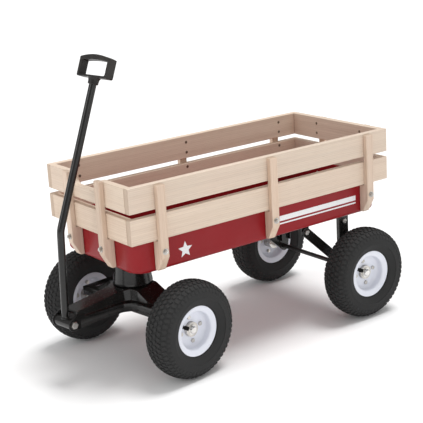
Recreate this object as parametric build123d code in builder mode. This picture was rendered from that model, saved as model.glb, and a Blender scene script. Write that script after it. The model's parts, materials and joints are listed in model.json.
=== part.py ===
from build123d import *

import os
from math import atan2, cos, degrees, hypot, radians, sin, sqrt

# Wagon with a stamped steel bed, slatted wooden sides, four pneumatic wheels
# and a pull handle on a steered front axle. Millimetres, +Z up, wheels on Z = 0.
# The front of the wagon faces -Y, its left side is +X.

os.makedirs("parts", exist_ok=True)

# ---------------------------------------------------------------- driving sizes
bed_y = 52.7  # centre of the bed, which puts the origin midway along the whole wagon
rest_steer_deg = 7.6  # the front axle stands turned a little at rest

# wheels
tyre_r = 127.0
tyre_half_w = 41.8
bead_r = 51.3
bead_half_w = 23.5
half_track = 210.0  # centre of the wagon to the middle plane of a tyre
rim_lip_r = 65.0
rim_half_w = 28.0
rim_t = 2.0
seat_r = 51.0  # outside of the bead seat
disc_edge_r = 43.0
hub_r = 19.0
hub_bore_r = 6.4
hub_in = 30.0  # hub length inboard of the middle plane
hub_out = 10.0
bearing_w = 9.0
hub_wall = 4.0
rim_bolt_circle_r = 33.0
rim_bolt_r = 3.0
rim_bolt_end = 7.0
rim_head = (10.0, 4.0)
rim_nut = (10.0, 5.0)
rim_bolt_turn_deg = 8.0
valve_r = 4.0
valve_l = 30.0
valve_turn_deg = 62.0
valve_lean_deg = 42.0
valve_foot = (6.0, 54.5)  # outboard of the middle plane, and out from the axis

# axles
axle_r = 6.35
axle_z = tyre_r
front_axle_y = bed_y - 313.0
rear_axle_y = bed_y + 316.0
side_play = 0.3  # gap at each end of a turning hub
washer_t = 1.2
washer_r = 13.0
spacer_r = 9.5
cap_r = 10.0
cap_l = 6.5
cap_round = 4.0
cap_socket = 4.0

# tray
tray_half_w = 178.0
tray_half_l = 411.0
tray_z = 287.0
tray_h = 97.0
tray_t = 1.5
tray_corner_r = 45.0
tray_floor_r = 12.0
hem_h = 7.0
hem_t = 3.2

# boards and stakes
board_t = 18.0
board_h = 64.0
lower_board_z = 373.0
upper_board_z = 452.0
board_round = 1.5
notch_half_w = 68.0  # dip in the top of the upper front board
notch_depth = 32.0
notch_r = 22.0
stake_w = 23.5
stake_out = 15.0  # how far a stake stands out of the boards
stake_top_z = 512.5
front_stake_top_z = 519.0
stake_round = 2.0
stake_bottom_z = 293.0
stake_bevel_z = 330.0
stake_tip = 12.0
side_stake_y = (-343.0, 8.0, 350.0)
front_stake_x = (-77.0, 77.0)
rear_stake_x = (-76.0, 106.0)
stake_bolt_z = 345.0
stake_bolt_r = 3.0
stake_bolt_end = 7.0  # bolt left standing out of its washer
stake_washer_r = 8.0
stake_nut = (10.0, 5.0)  # across the flats, and thickness
screw_r = 2.0
screw_head_r = 4.0
screw_l = 28.0
screw_z = (391.0, 427.0, 469.0, 498.0)

# turntable
bolster_r = 48.0
bolster_flange_r = 58.0
bolster_t = 3.0
bolster_round = 2.5
kingpin_r = 7.94
kingpin_hole_r = 8.0
kingpin_head_r = 16.0
kingpin_nut_across = 24.0
kingpin_nut_h = 12.0
kingpin_end = 4.0
bolster_bolt_circle_r = 30.0

# yoke pressing, in forward, sideways and upward sizes about the kingpin
yoke_t = 2.5
yoke_top_z = 209.0
ledge_z = 178.0
skirt_z = 155.0
arm_half_l = 150.0
arm_top_half_l = 52.0
arm_slope_end = 112.0
skirt_half_d = 53.0
skirt_corner_r = 28.0
saddle_half_d = 41.0
saddle_corner_r = 22.0
pivot_f = 226.0
pivot_z = 165.0
pivot_end_r = 16.0
pivot_end_deg = 54.0  # how far round the pivot the cheeks' front end goes
dip_f = (150.0, 214.0)  # start and end of the slope down to the pivot
tie_front_f = 232.0
cheek_half_w = 34.0  # outside of the two cheeks that hold the handle
cheek_back_f = 205.0
tongue_half_w = 41.0
neck_half_w = 33.0
neck_end_half_w = 28.0
neck_end_z = 192.0
stop_f = 214.8  # front edge of the top plate, where the raised handle rests
hanger_t = 4.0
hanger_half_w = 24.0

# handle
tube_r = 9.5
tube_t = 1.5
sleeve_r = 13.0
pivot_bolt_r = 5.0
pivot_bore_r = 5.05
pivot_head = (17.0, 6.0)
pivot_nut = (17.0, 7.0)
pivot_bolt_end = 9.0
sleeve_half_l = 31.2
bend_back = 11.3
bend_up = 236.0
upper_l = 384.0
upper_lean_deg = 22.1
bend_r = 60.0

# grip
grip_half_w = 57.0
grip_wall = 7.0
grip_depth = 24.0
grip_corner_h = 49.0
grip_corner_r = 5.0
grip_round = 1.5
grip_arch_h = 57.0
hole_low = 5.5
hole_corner_h = 41.0
hole_arch_h = 44.0
socket_r = 13.5
socket_l = 16.0

# undercarriage at the rear
leg_face_x = 134.0
leg_half_w = 17.0
leg_t = 2.5
leg_flange = 12.0
leg_top_z = 281.0
leg_bolt_z = 261.0
axle_boss_r = 14.0
brace_t = 5.0
brace_w = 27.0
brace_round = 1.8
brace_top = (bed_y + 172.0, 260.0)
clip_t = 3.0
clip_w = 26.0
clip_foot = 34.0
clip_drop = 37.0
frame_bolt_r = 4.0
frame_head = (13.0, 5.3)
frame_nut = (13.0, 6.5)
frame_bolt_end = 2.0
leg_foot_z = axle_z + 20.0  # below this a leg narrows to the axle


def placed(place, plane):
    """A plane given in a place's own frame, in the frame of the whole wagon."""
    return Plane(place * plane.location)


# ---------------------------------------------------------------- derived places
bed = Plane((0, bed_y, 0))
steer = Location((0, front_axle_y, 0), (0, 0, rest_steer_deg))
rear = Location((0, rear_axle_y, 0))
tongue_side = placed(steer, Plane(origin=(0, 0, 0), x_dir=(0, -1, 0), z_dir=(-1, 0, 0)))
handle_side = placed(steer, Plane(origin=(0, -pivot_f, pivot_z), x_dir=(0, -1, 0), z_dir=(-1, 0, 0)))
saddle_front = placed(steer, Plane.XZ)
tray_top_z = tray_z + tray_h
board_half_l = tray_half_l + board_t
stake_face = board_t + stake_out


def save(part, name):
    """Label a finished piece and write it under its node name."""
    part.label = name
    export_step(part, f"parts/{name}.step")


def save_group(parts, name):
    """Write pieces that share one node, each kept as its own solid."""
    save(Compound(children=parts), name)


def upright(x, y, outward):
    """Plane standing on end at (x, y), its x axis outward and its y axis up."""
    side = Vector(*outward, 0)
    return Plane(origin=(x, y, 0), x_dir=side, z_dir=side.cross(Vector(0, 0, 1)))


def facing(plane, along, up, turn=1):
    """Plane at a point of an upright plane, with its normal outward, or inward for turn -1."""
    point = plane.from_local_coords((along, up, 0))
    return Plane(origin=point, x_dir=plane.z_dir, z_dir=plane.x_dir * turn)


# ---------------------------------------------------------------- fasteners
def bolt(at, length, radius, across, head_h):
    """Hex bolt, its head above the plane and its shank below."""
    with BuildPart() as made:
        with BuildSketch(at):
            RegularPolygon(radius=across / 2, side_count=6, major_radius=False)
        extrude(amount=head_h)
        chamfer(made.faces().sort_by(Axis(at.origin, at.z_dir))[-1].edges(), length=head_h * 0.12)
        with BuildSketch(at):
            Circle(radius)
        extrude(amount=-length)
    return made.part


def dome_bolt(at, length, radius, head_r):
    """Carriage bolt with a low domed head above the plane."""
    rise = head_r * 0.45
    dome_r = (head_r**2 + rise**2) / (2 * rise)
    shoulder = (head_r / 2, rise - dome_r + sqrt(dome_r**2 - head_r**2 / 4))
    with BuildPart() as made:
        with BuildSketch(Plane(origin=at.origin, x_dir=at.x_dir, z_dir=at.x_dir.cross(at.z_dir))):
            with BuildLine():
                Line((0, -length), (radius, -length))
                Line((radius, -length), (radius, 0))
                Line((radius, 0), (head_r, 0))
                ThreePointArc((head_r, 0), shoulder, (0, rise))
                Line((0, rise), (0, -length))
            make_face()
        revolve(axis=Axis(at.origin, at.z_dir))
    return made.part


def ring(at, inner_r, outer_r, height):
    """Washer, spacer or bush above the plane."""
    with BuildPart() as made:
        with BuildSketch(at):
            Circle(outer_r)
            Circle(inner_r, mode=Mode.SUBTRACT)
        extrude(amount=height)
    return made.part


def nut(at, radius, across, height):
    """Hex nut above the plane."""
    with BuildPart() as made:
        with BuildSketch(at):
            RegularPolygon(radius=across / 2, side_count=6, major_radius=False)
            Circle(radius, mode=Mode.SUBTRACT)
        extrude(amount=height)
    return made.part


def wood_screw(at):
    """Countersunk screw, its head flush with the plane and its shank below."""
    with BuildPart() as made:
        with BuildSketch(Plane(origin=at.origin, x_dir=at.x_dir, z_dir=at.x_dir.cross(at.z_dir))):
            with BuildLine():
                Polyline(
                    (0, 0),
                    (screw_head_r, 0),
                    (screw_r, screw_r - screw_head_r),
                    (screw_r, -screw_l + screw_r),
                    (0, -screw_l),
                    close=True,
                )
            make_face()
        revolve(axis=Axis(at.origin, at.z_dir))
    return made.part


# ---------------------------------------------------------------- stakes: where they stand
stakes = {}
for number, along in enumerate(side_stake_y, start=1):
    stakes[f"stake_left_{number}"] = upright(tray_half_w, bed_y + along, (1, 0))
    stakes[f"stake_right_{number}"] = upright(-tray_half_w, bed_y + along, (-1, 0))
for side, x in zip(("right", "left"), front_stake_x):
    stakes[f"stake_front_{side}"] = upright(x, bed_y - tray_half_l, (0, -1))
for side, x in zip(("right", "left"), rear_stake_x):
    stakes[f"stake_rear_{side}"] = upright(x, bed_y + tray_half_l, (0, 1))


def stakes_of(side):
    """Planes of the stakes that stand on one side of the bed."""
    return [plane for name, plane in stakes.items() if name.startswith(f"stake_{side}")]


# ---------------------------------------------------------------- where the frame bolts pass
leg_clips = [upright(s * leg_face_x, rear_axle_y, (s, 0)) for s in (1, -1)]
brace_clips = [upright(s * leg_face_x, brace_top[0], (s, 0)) for s in (1, -1)]
foot_x = clip_foot / 2 + clip_t / 2
floor_bolts = [plane.from_local_coords((-foot_x - leg_t, 0, 0)) for plane in leg_clips]
floor_bolts += [plane.from_local_coords((-foot_x, 0, 0)) for plane in brace_clips]
with PolarLocations(bolster_bolt_circle_r, 4, start_angle=45) as circle:
    bolster_bolts = [Vector(0, front_axle_y, 0) + place.position for place in circle.local_locations]


# ---------------------------------------------------------------- tray
with BuildPart() as tray:
    with BuildSketch(bed.offset(tray_z)):
        RectangleRounded(2 * tray_half_w, 2 * tray_half_l, tray_corner_r)
    extrude(amount=tray_h)
    fillet(tray.faces().sort_by(Axis.Z)[0].edges(), radius=tray_floor_r)
    offset(amount=-tray_t, openings=tray.faces().sort_by(Axis.Z)[-1])
    with BuildSketch(bed.offset(tray_top_z - hem_h)):
        RectangleRounded(2 * tray_half_w, 2 * tray_half_l, tray_corner_r)
        offset(amount=-hem_t, mode=Mode.SUBTRACT)
    extrude(amount=hem_h)
    for plane in stakes.values():
        with Locations(facing(plane, 0, stake_bolt_z)):
            Hole(stake_bolt_r, depth=2 * tray_t)
    with Locations(Location((0, front_axle_y, tray_z + tray_t))):
        Hole(kingpin_r, depth=2 * tray_t)
    for point in floor_bolts + bolster_bolts:
        with Locations(Location((point.X, point.Y, tray_z + tray_t))):
            Hole(frame_bolt_r, depth=2 * tray_t)
save(tray.part, "tray")


# ---------------------------------------------------------------- boards
def make_board(side, level, low_z):
    """One board, with countersunk screw holes from its inner face; the upper front one is notched."""
    along_side = side in ("left", "right")
    sign = 1 if side in ("left", "rear") else -1
    middle = tray_half_w + board_t / 2 if along_side else tray_half_l + board_t / 2
    with BuildPart() as board:
        with BuildSketch(bed.offset(low_z)):
            if along_side:
                with Locations((sign * middle, 0)):
                    Rectangle(board_t, 2 * board_half_l)
            else:
                with Locations((0, sign * middle)):
                    Rectangle(2 * tray_half_w, board_t)
        extrude(amount=board_h)
        fillet(board.edges().filter_by(Axis.Y if along_side else Axis.X), radius=board_round)
        if (side, level) == ("front", "upper"):
            with BuildSketch(Plane((0, bed_y - middle, 0), x_dir=(1, 0, 0), z_dir=(0, -1, 0))):
                with Locations((0, low_z + board_h)):
                    RectangleRounded(2 * notch_half_w, 2 * notch_depth, notch_r)
            extrude(amount=board_t, both=True, mode=Mode.SUBTRACT)
        for plane in stakes_of(side):
            for z in screw_z:
                if low_z < z < low_z + board_h:
                    with Locations(facing(plane, 0, z, turn=-1)):
                        CounterSinkHole(screw_r, screw_head_r, depth=board_t)
    save(board.part, f"{level}_board_{side}")


for board_side in ("left", "right", "front", "rear"):
    make_board(board_side, "lower", lower_board_z)
    make_board(board_side, "upper", upper_board_z)


# ---------------------------------------------------------------- stakes
def make_stake(name, plane, top_z):
    """Stake outside the boards, stepped in below them to meet the tray, with a bevelled foot."""
    with BuildPart() as stake:
        with BuildSketch(plane):
            with BuildLine():
                Polyline(
                    (board_t, top_z),
                    (stake_face, top_z),
                    (stake_face, stake_bevel_z),
                    (stake_tip, stake_bottom_z),
                    (0, stake_bottom_z),
                    (0, lower_board_z),
                    (board_t, lower_board_z),
                    close=True,
                )
            make_face()
        extrude(amount=stake_w / 2, both=True)
        outer_edges = stake.faces().sort_by(Axis(plane.origin, plane.x_dir))[-1].edges()
        fillet(outer_edges.filter_by(Axis.Z), radius=stake_round)
        with Locations(facing(plane, stake_face, stake_bolt_z)):
            Hole(stake_bolt_r, depth=stake_face)
        for z in screw_z:
            with Locations(facing(plane, board_t, z, turn=-1)):
                Hole(screw_r, depth=screw_l - board_t)
    save(stake.part, name)


for stake_name, stake_plane in stakes.items():
    at_front = stake_name.startswith("stake_front")
    make_stake(stake_name, stake_plane, front_stake_top_z if at_front else stake_top_z)

# ---------------------------------------------------------------- fasteners of the wooden sides
stake_bolt_sets = []
stake_bolt_l = tray_t + stake_face + washer_t + stake_bolt_end
for plane in stakes.values():
    inside = facing(plane, -tray_t, stake_bolt_z, turn=-1)
    outside = facing(plane, stake_face, stake_bolt_z)
    stake_bolt_sets.append(dome_bolt(inside, stake_bolt_l, stake_bolt_r, stake_washer_r))
    stake_bolt_sets.append(ring(outside, stake_bolt_r, stake_washer_r, washer_t))
    stake_bolt_sets.append(nut(outside.offset(washer_t), stake_bolt_r, *stake_nut))
save_group(stake_bolt_sets, "stake_bolts")
screws = [wood_screw(facing(plane, 0, z, turn=-1)) for plane in stakes.values() for z in screw_z]
save_group(screws, "board_screws")

# ---------------------------------------------------------------- bolster and kingpin
bolster_low_z = yoke_top_z + side_play
with BuildPart() as bolster:
    with BuildSketch(Plane((0, front_axle_y, 0), x_dir=(1, 0, 0), z_dir=(0, -1, 0))):
        with BuildLine():
            Polyline(
                (kingpin_r, tray_z),
                (bolster_r, tray_z),
                (bolster_r, bolster_low_z + bolster_t),
                (bolster_flange_r, bolster_low_z + bolster_t),
                (bolster_flange_r, bolster_low_z),
                (bolster_r - bolster_t, bolster_low_z),
                (bolster_r - bolster_t, tray_z - bolster_t),
                (kingpin_r, tray_z - bolster_t),
                close=True,
            )
        make_face()
    revolve(axis=Axis((0, front_axle_y, 0), (0, 0, 1)))
    top_circles = bolster.edges().filter_by(GeomType.CIRCLE).group_by(Axis.Z)[-1]
    fillet(top_circles.sort_by(SortBy.RADIUS)[-1], radius=bolster_round)
    for point in bolster_bolts:
        with Locations(Location((point.X, point.Y, tray_z))):
            Hole(frame_bolt_r, depth=bolster_t)
save(bolster.part, "bolster")

floor_top_z = tray_z + tray_t
nut_low_z = yoke_top_z - yoke_t - side_play - kingpin_nut_h
kingpin_l = floor_top_z - nut_low_z + kingpin_end
kingpin = dome_bolt(Plane((0, front_axle_y, floor_top_z)), kingpin_l, kingpin_r, kingpin_head_r)
save(kingpin, "kingpin")
kingpin_nut = nut(Plane((0, front_axle_y, nut_low_z)), kingpin_r, kingpin_nut_across, kingpin_nut_h)
save(kingpin_nut, "kingpin_nut")


# ---------------------------------------------------------------- yoke pressing
def t_plan(arm_l, arm_d, root_w, end_w, end_f, corner_r, inset):
    """T-shaped plan of the yoke: two arms and a tapering tongue forward, set in by inset."""
    with BuildSketch(mode=Mode.PRIVATE) as plan:
        Rectangle(2 * arm_l, 2 * arm_d)
        with BuildLine():
            Polyline(
                (-root_w, 0),
                (-root_w, -arm_d),
                (-end_w, -min(end_f, cheek_back_f)),
                (-end_w, -end_f),
                (end_w, -end_f),
                (end_w, -min(end_f, cheek_back_f)),
                (root_w, -arm_d),
                (root_w, 0),
                close=True,
            )
        make_face()
        corners = plan.vertices().filter_by(lambda v: abs(abs(v.X) - root_w) < 0.01)
        fillet(corners, radius=corner_r)
        offset(amount=-inset, mode=Mode.REPLACE)
    return plan.sketch


def yoke_blank(inset, low_z, front_f):
    """Solid outline of the pressing, its walls and roofs set in by inset."""
    with BuildPart() as blank:
        with BuildSketch(placed(steer, Plane.XY.offset(low_z))):
            skirt = (arm_half_l, skirt_half_d, tongue_half_w, cheek_half_w, front_f, skirt_corner_r)
            add(t_plan(*skirt, inset))
        extrude(amount=ledge_z - inset - low_z)
        with BuildSketch(placed(steer, Plane.XY.offset(ledge_z - inset - 1))):
            neck = (neck_half_w, neck_end_half_w, stop_f + inset)
            add(t_plan(arm_slope_end, saddle_half_d, *neck, saddle_corner_r, inset))
        extrude(amount=yoke_top_z - ledge_z + 1)
        with BuildSketch(saddle_front):
            for sign in (1, -1):
                with BuildLine():
                    Polyline(
                        (sign * arm_top_half_l, yoke_top_z - inset),
                        (sign * arm_slope_end, ledge_z - inset),
                        (sign * arm_slope_end * 1.1, yoke_top_z + 1),
                        (sign * arm_top_half_l, yoke_top_z + 1),
                        close=True,
                    )
                make_face()
        extrude(amount=saddle_half_d + 2, both=True, mode=Mode.SUBTRACT)
        with BuildSketch(tongue_side):
            with BuildLine():
                Polyline(
                    (saddle_half_d, yoke_top_z - inset),
                    (stop_f + 2, neck_end_z - inset),
                    (stop_f + 2, yoke_top_z + 1),
                    (saddle_half_d, yoke_top_z + 1),
                    close=True,
                )
            make_face()
        extrude(amount=arm_top_half_l + 2, both=True, mode=Mode.SUBTRACT)
    return blank.part


pivot_low_z = pivot_z - pivot_end_r
front_end_f = pivot_f + pivot_end_r
cheek_end_f = pivot_f + pivot_end_r * cos(radians(pivot_end_deg))
cheek_end_z = pivot_z + pivot_end_r * sin(radians(pivot_end_deg))
with BuildPart() as yoke:
    add(yoke_blank(0, pivot_low_z, front_end_f))
    add(yoke_blank(yoke_t, pivot_low_z - 10, front_end_f + 20), mode=Mode.SUBTRACT)
    with BuildSketch(tongue_side):
        with BuildLine():
            # lower edge, dipping to the pivot and rounded about it
            Polyline(
                (-arm_half_l, pivot_low_z - 1),
                (-arm_half_l, skirt_z),
                (dip_f[0], skirt_z),
                (dip_f[1], pivot_low_z),
                (pivot_f, pivot_low_z),
            )
            CenterArc((pivot_f, pivot_z), pivot_end_r, -90, 90 + pivot_end_deg)
            Polyline(
                (cheek_end_f, cheek_end_z),
                (cheek_end_f, yoke_top_z),
                (front_end_f + 1, yoke_top_z),
                (front_end_f + 1, pivot_low_z - 1),
                (-arm_half_l, pivot_low_z - 1),
            )
        make_face()
    extrude(amount=arm_half_l + 1, both=True, mode=Mode.SUBTRACT)
    # open top between the cheeks, for the handle
    with BuildSketch(placed(steer, Plane.XY.offset(pivot_low_z))):
        with Locations((0, -(stop_f + front_end_f + 1) / 2)):
            Rectangle(2 * (cheek_half_w - yoke_t), front_end_f + 1 - stop_f)
    extrude(amount=yoke_top_z - pivot_low_z, mode=Mode.SUBTRACT)
    # tie plate under the pivot
    with BuildSketch(placed(steer, Plane.XY.offset(pivot_low_z))):
        with Locations((0, -(cheek_back_f + tie_front_f) / 2)):
            Rectangle(2 * (cheek_half_w - yoke_t), tie_front_f - cheek_back_f)
    extrude(amount=yoke_t)
    with Locations(steer * Location((0, 0, yoke_top_z))):
        Hole(kingpin_hole_r, depth=2 * yoke_t)
    with BuildSketch(handle_side):
        Circle(pivot_bolt_r)
    extrude(amount=cheek_half_w + 1, both=True, mode=Mode.SUBTRACT)
    with BuildSketch(tongue_side):
        with Locations((0, axle_z)):
            Circle(axle_r)
    extrude(amount=arm_half_l + 1, both=True, mode=Mode.SUBTRACT)
save(yoke.part, "yoke")

# ---------------------------------------------------------------- axle hangers inside the arm ends
hangers = []
hanger_top_z = ledge_z - yoke_t
hanger_x = arm_half_l - yoke_t - hanger_t / 2
for sign in (1, -1):
    with BuildPart() as hanger:
        with BuildSketch(tongue_side.offset(-sign * hanger_x)):
            with BuildLine():
                Polyline(
                    (-axle_boss_r, axle_z),
                    (-hanger_half_w, hanger_top_z),
                    (hanger_half_w, hanger_top_z),
                    (axle_boss_r, axle_z),
                )
                CenterArc((0, axle_z), axle_boss_r, 180, 180)
            make_face()
            with Locations((0, axle_z)):
                Circle(axle_r, mode=Mode.SUBTRACT)
        extrude(amount=hanger_t / 2, both=True)
    hangers.append(hanger.part)
save_group(hangers, "axle_hangers")


# ---------------------------------------------------------------- axles and what holds the wheels on
def make_axle(name, place, spacer_start):
    """Round axle through both hubs, with its spacers, washers and push caps as a second node."""
    middle = placed(place, Plane.YZ)
    spacer_l = half_track - hub_in - side_play - spacer_start
    washer_start = half_track + hub_out + side_play
    tip = washer_start + washer_t + cap_socket
    with BuildPart() as axle:
        with BuildSketch(middle.offset(-tip)):
            with Locations((0, axle_z)):
                Circle(axle_r)
        extrude(amount=2 * tip)
        chamfer(axle.edges().filter_by(GeomType.CIRCLE), length=0.8)
    save(axle.part, f"{name}_axle")
    fittings = []
    centre = middle.from_local_coords((0, axle_z, 0))
    for sign in (1, -1):
        at = Plane(origin=centre, x_dir=(0, 0, 1), z_dir=middle.z_dir * sign)
        fittings.append(ring(at.offset(spacer_start), axle_r, spacer_r, spacer_l))
        fittings.append(ring(at.offset(washer_start), axle_r, washer_r, washer_t))
        with BuildPart() as cap:
            with BuildSketch(at.offset(washer_start + washer_t)):
                Circle(cap_r)
            extrude(amount=cap_l)
            fillet(cap.faces().sort_by(Axis(at.origin, at.z_dir))[-1].edges(), radius=cap_round)
            with BuildSketch(at.offset(washer_start + washer_t)):
                Circle(axle_r)
            extrude(amount=cap_socket, mode=Mode.SUBTRACT)
        fittings.append(cap.part)
    save_group(fittings, f"{name}_axle_fittings")


make_axle("front", steer, arm_half_l)
make_axle("rear", rear, leg_face_x + brace_t)


# ---------------------------------------------------------------- rear legs, braces and clips
def leg_outline():
    """Side outline of a rear leg, round about the axle."""
    with BuildLine() as line:
        Polyline(
            (-axle_boss_r, axle_z),
            (-leg_half_w, leg_foot_z),
            (-leg_half_w, leg_top_z),
            (leg_half_w, leg_top_z),
            (leg_half_w, leg_foot_z),
            (axle_boss_r, axle_z),
        )
        CenterArc((0, axle_z), axle_boss_r, 180, 180)
    return line.line


def make_leg(side, sign):
    """Channel-shaped leg from the bed to the rear axle, its flanges turned inward."""
    web = placed(rear, Plane.YZ.offset(sign * leg_face_x))
    with BuildPart() as leg:
        with BuildSketch(web):
            add(leg_outline())
            make_face()
        extrude(amount=-sign * leg_t)
        with BuildSketch(web):
            for edge in (-1, 1):
                with Locations((edge * (leg_half_w - leg_t / 2), (leg_foot_z + leg_top_z) / 2)):
                    Rectangle(leg_t, leg_top_z - leg_foot_z)
        extrude(amount=-sign * leg_flange)
        with BuildSketch(web):
            with Locations((0, axle_z)):
                Circle(axle_r)
            with Locations((0, leg_bolt_z)):
                Circle(frame_bolt_r)
        extrude(amount=-sign * leg_t, mode=Mode.SUBTRACT)
    save(leg.part, f"rear_leg_{side}")


def make_brace(side, sign):
    """Flat bar on the outside of a leg, from the axle forward and up to its clip."""
    rise = (brace_top[0] - rear_axle_y, brace_top[1] - axle_z)
    span = hypot(*rise)
    with BuildPart() as brace:
        with BuildSketch(Plane.YZ.offset(sign * leg_face_x)):
            with Locations((rear_axle_y + rise[0] / 2, axle_z + rise[1] / 2)):
                SlotCenterToCenter(span, brace_w, rotation=degrees(atan2(rise[1], rise[0])))
            with Locations((rear_axle_y, axle_z)):
                Circle(axle_r, mode=Mode.SUBTRACT)
            with Locations(brace_top):
                Circle(frame_bolt_r, mode=Mode.SUBTRACT)
        extrude(amount=sign * brace_t)
        outer = brace.faces().sort_by(Axis.X)[-1 if sign > 0 else 0]
        fillet(outer.outer_wire().edges(), radius=brace_round)
    save(brace.part, f"rear_brace_{side}")


def make_clip(plane, face, bolt_z):
    """Angle clip under the tray: an ear whose outer face is at face, and a foot inward."""
    with BuildPart() as clip:
        with BuildSketch(plane):
            with BuildLine():
                Polyline(
                    (face, tray_z - clip_drop),
                    (face, tray_z),
                    (face - clip_foot, tray_z),
                    (face - clip_foot, tray_z - clip_t),
                    (face - clip_t, tray_z - clip_t),
                    (face - clip_t, tray_z - clip_drop),
                    close=True,
                )
            make_face()
        extrude(amount=clip_w / 2, both=True)
        with Locations(facing(plane, face, bolt_z)):
            Hole(frame_bolt_r, depth=clip_t)
        foot = plane.from_local_coords((face - foot_x, 0, 0))
        with Locations(Location((foot.X, foot.Y, tray_z))):
            Hole(frame_bolt_r, depth=clip_t)
    return clip.part


for side_name, side_sign in (("left", 1), ("right", -1)):
    make_leg(side_name, side_sign)
    make_brace(side_name, side_sign)
clips = [make_clip(plane, -leg_t, leg_bolt_z) for plane in leg_clips]
clips += [make_clip(plane, 0, brace_top[1]) for plane in brace_clips]
save_group(clips, "frame_clips")

frame_bolts = []


def add_frame_bolt(under_head, under_nut):
    """Frame bolt clamping what lies between the two planes, which face apart."""
    grip_l = (under_head.origin - under_nut.origin).length
    bolt_l = grip_l + frame_nut[1] + frame_bolt_end
    frame_bolts.append(bolt(under_head, bolt_l, frame_bolt_r, *frame_head))
    frame_bolts.append(nut(under_nut, frame_bolt_r, *frame_nut))


for point in floor_bolts + bolster_bolts:
    under_floor = Plane((point.X, point.Y, tray_z - clip_t), x_dir=(1, 0, 0), z_dir=(0, 0, -1))
    add_frame_bolt(Plane((point.X, point.Y, floor_top_z)), under_floor)
for plane in leg_clips:
    add_frame_bolt(facing(plane, 0, leg_bolt_z), facing(plane, -leg_t - clip_t, leg_bolt_z, turn=-1))
for plane in brace_clips:
    brace_bolt_z = brace_top[1]
    add_frame_bolt(facing(plane, brace_t, brace_bolt_z), facing(plane, -clip_t, brace_bolt_z, turn=-1))
save_group(frame_bolts, "frame_bolts")

# ---------------------------------------------------------------- handle
with BuildPart() as handle_tube:
    with BuildLine(handle_side) as run:
        end = (
            -bend_back - upper_l * sin(radians(upper_lean_deg)),
            bend_up + upper_l * cos(radians(upper_lean_deg)),
        )
        FilletPolyline((0, 0), (-bend_back, bend_up), end, radius=bend_r)
    with BuildSketch(Plane(origin=run.line @ 0, z_dir=run.line % 0)):
        Circle(tube_r)
        Circle(tube_r - tube_t, mode=Mode.SUBTRACT)
    sweep(path=run.line)
    with BuildSketch(handle_side):
        Circle(sleeve_r)
    extrude(amount=sleeve_half_l, both=True, mode=Mode.SUBTRACT)
save(handle_tube.part, "handle_tube")

with BuildPart() as pivot_sleeve:
    with BuildSketch(handle_side):
        Circle(sleeve_r)
        Circle(pivot_bore_r, mode=Mode.SUBTRACT)
    extrude(amount=sleeve_half_l, both=True)
save(pivot_sleeve.part, "pivot_sleeve")

left_cheek = handle_side.offset(-cheek_half_w)
under_head = Plane(origin=left_cheek.origin, x_dir=left_cheek.x_dir, z_dir=-left_cheek.z_dir)
right_cheek = handle_side.offset(cheek_half_w)
pivot_bolt = bolt(under_head, 2 * cheek_half_w + pivot_bolt_end, pivot_bolt_r, *pivot_head)
save_group([pivot_bolt, nut(right_cheek, pivot_bolt_r, *pivot_nut)], "pivot_bolt")

grip_foot = handle_side.from_local_coords((end[0], end[1], 0))
grip_face = Plane(origin=grip_foot, x_dir=-handle_side.z_dir, z_dir=(run.line % 1).cross(handle_side.z_dir))
with BuildPart() as grip:
    with BuildSketch(grip_face) as outline:
        with BuildLine():
            Polyline(
                (-grip_half_w, grip_corner_h),
                (-grip_half_w, 0),
                (grip_half_w, 0),
                (grip_half_w, grip_corner_h),
            )
            ThreePointArc((grip_half_w, grip_corner_h), (0, grip_arch_h), (-grip_half_w, grip_corner_h))
        make_face()
        fillet(outline.vertices(), radius=grip_corner_r)
        inner_w = grip_half_w - grip_wall
        with BuildLine():
            Polyline(
                (-inner_w, hole_corner_h),
                (-inner_w, hole_low),
                (inner_w, hole_low),
                (inner_w, hole_corner_h),
            )
            ThreePointArc((inner_w, hole_corner_h), (0, hole_arch_h), (-inner_w, hole_corner_h))
        make_face(mode=Mode.SUBTRACT)
    extrude(amount=grip_depth / 2, both=True)
    fillet(grip.edges().filter_by(grip_face), radius=grip_round)
    socket = Plane(origin=grip_foot, z_dir=-(run.line % 1))
    with BuildSketch(socket):
        Circle(socket_r)
    extrude(amount=socket_l)
    with BuildSketch(socket):
        Circle(tube_r)
    extrude(amount=socket_l, mode=Mode.SUBTRACT)
save(grip.part, "grip")


# ---------------------------------------------------------------- wheels
def radial(axis_plane, turn_deg):
    """Direction out from a wheel's axis, turned from straight up."""
    turn = radians(turn_deg)
    return axis_plane.y_dir * cos(turn) + axis_plane.z_dir * sin(turn)


def rim_bolt_centres(axis_plane):
    """Points on the joint face of the rim where its four bolts pass."""
    turns = [rim_bolt_turn_deg + 90 * quarter for quarter in range(4)]
    return [axis_plane.origin + radial(axis_plane, turn) * rim_bolt_circle_r for turn in turns]


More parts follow.
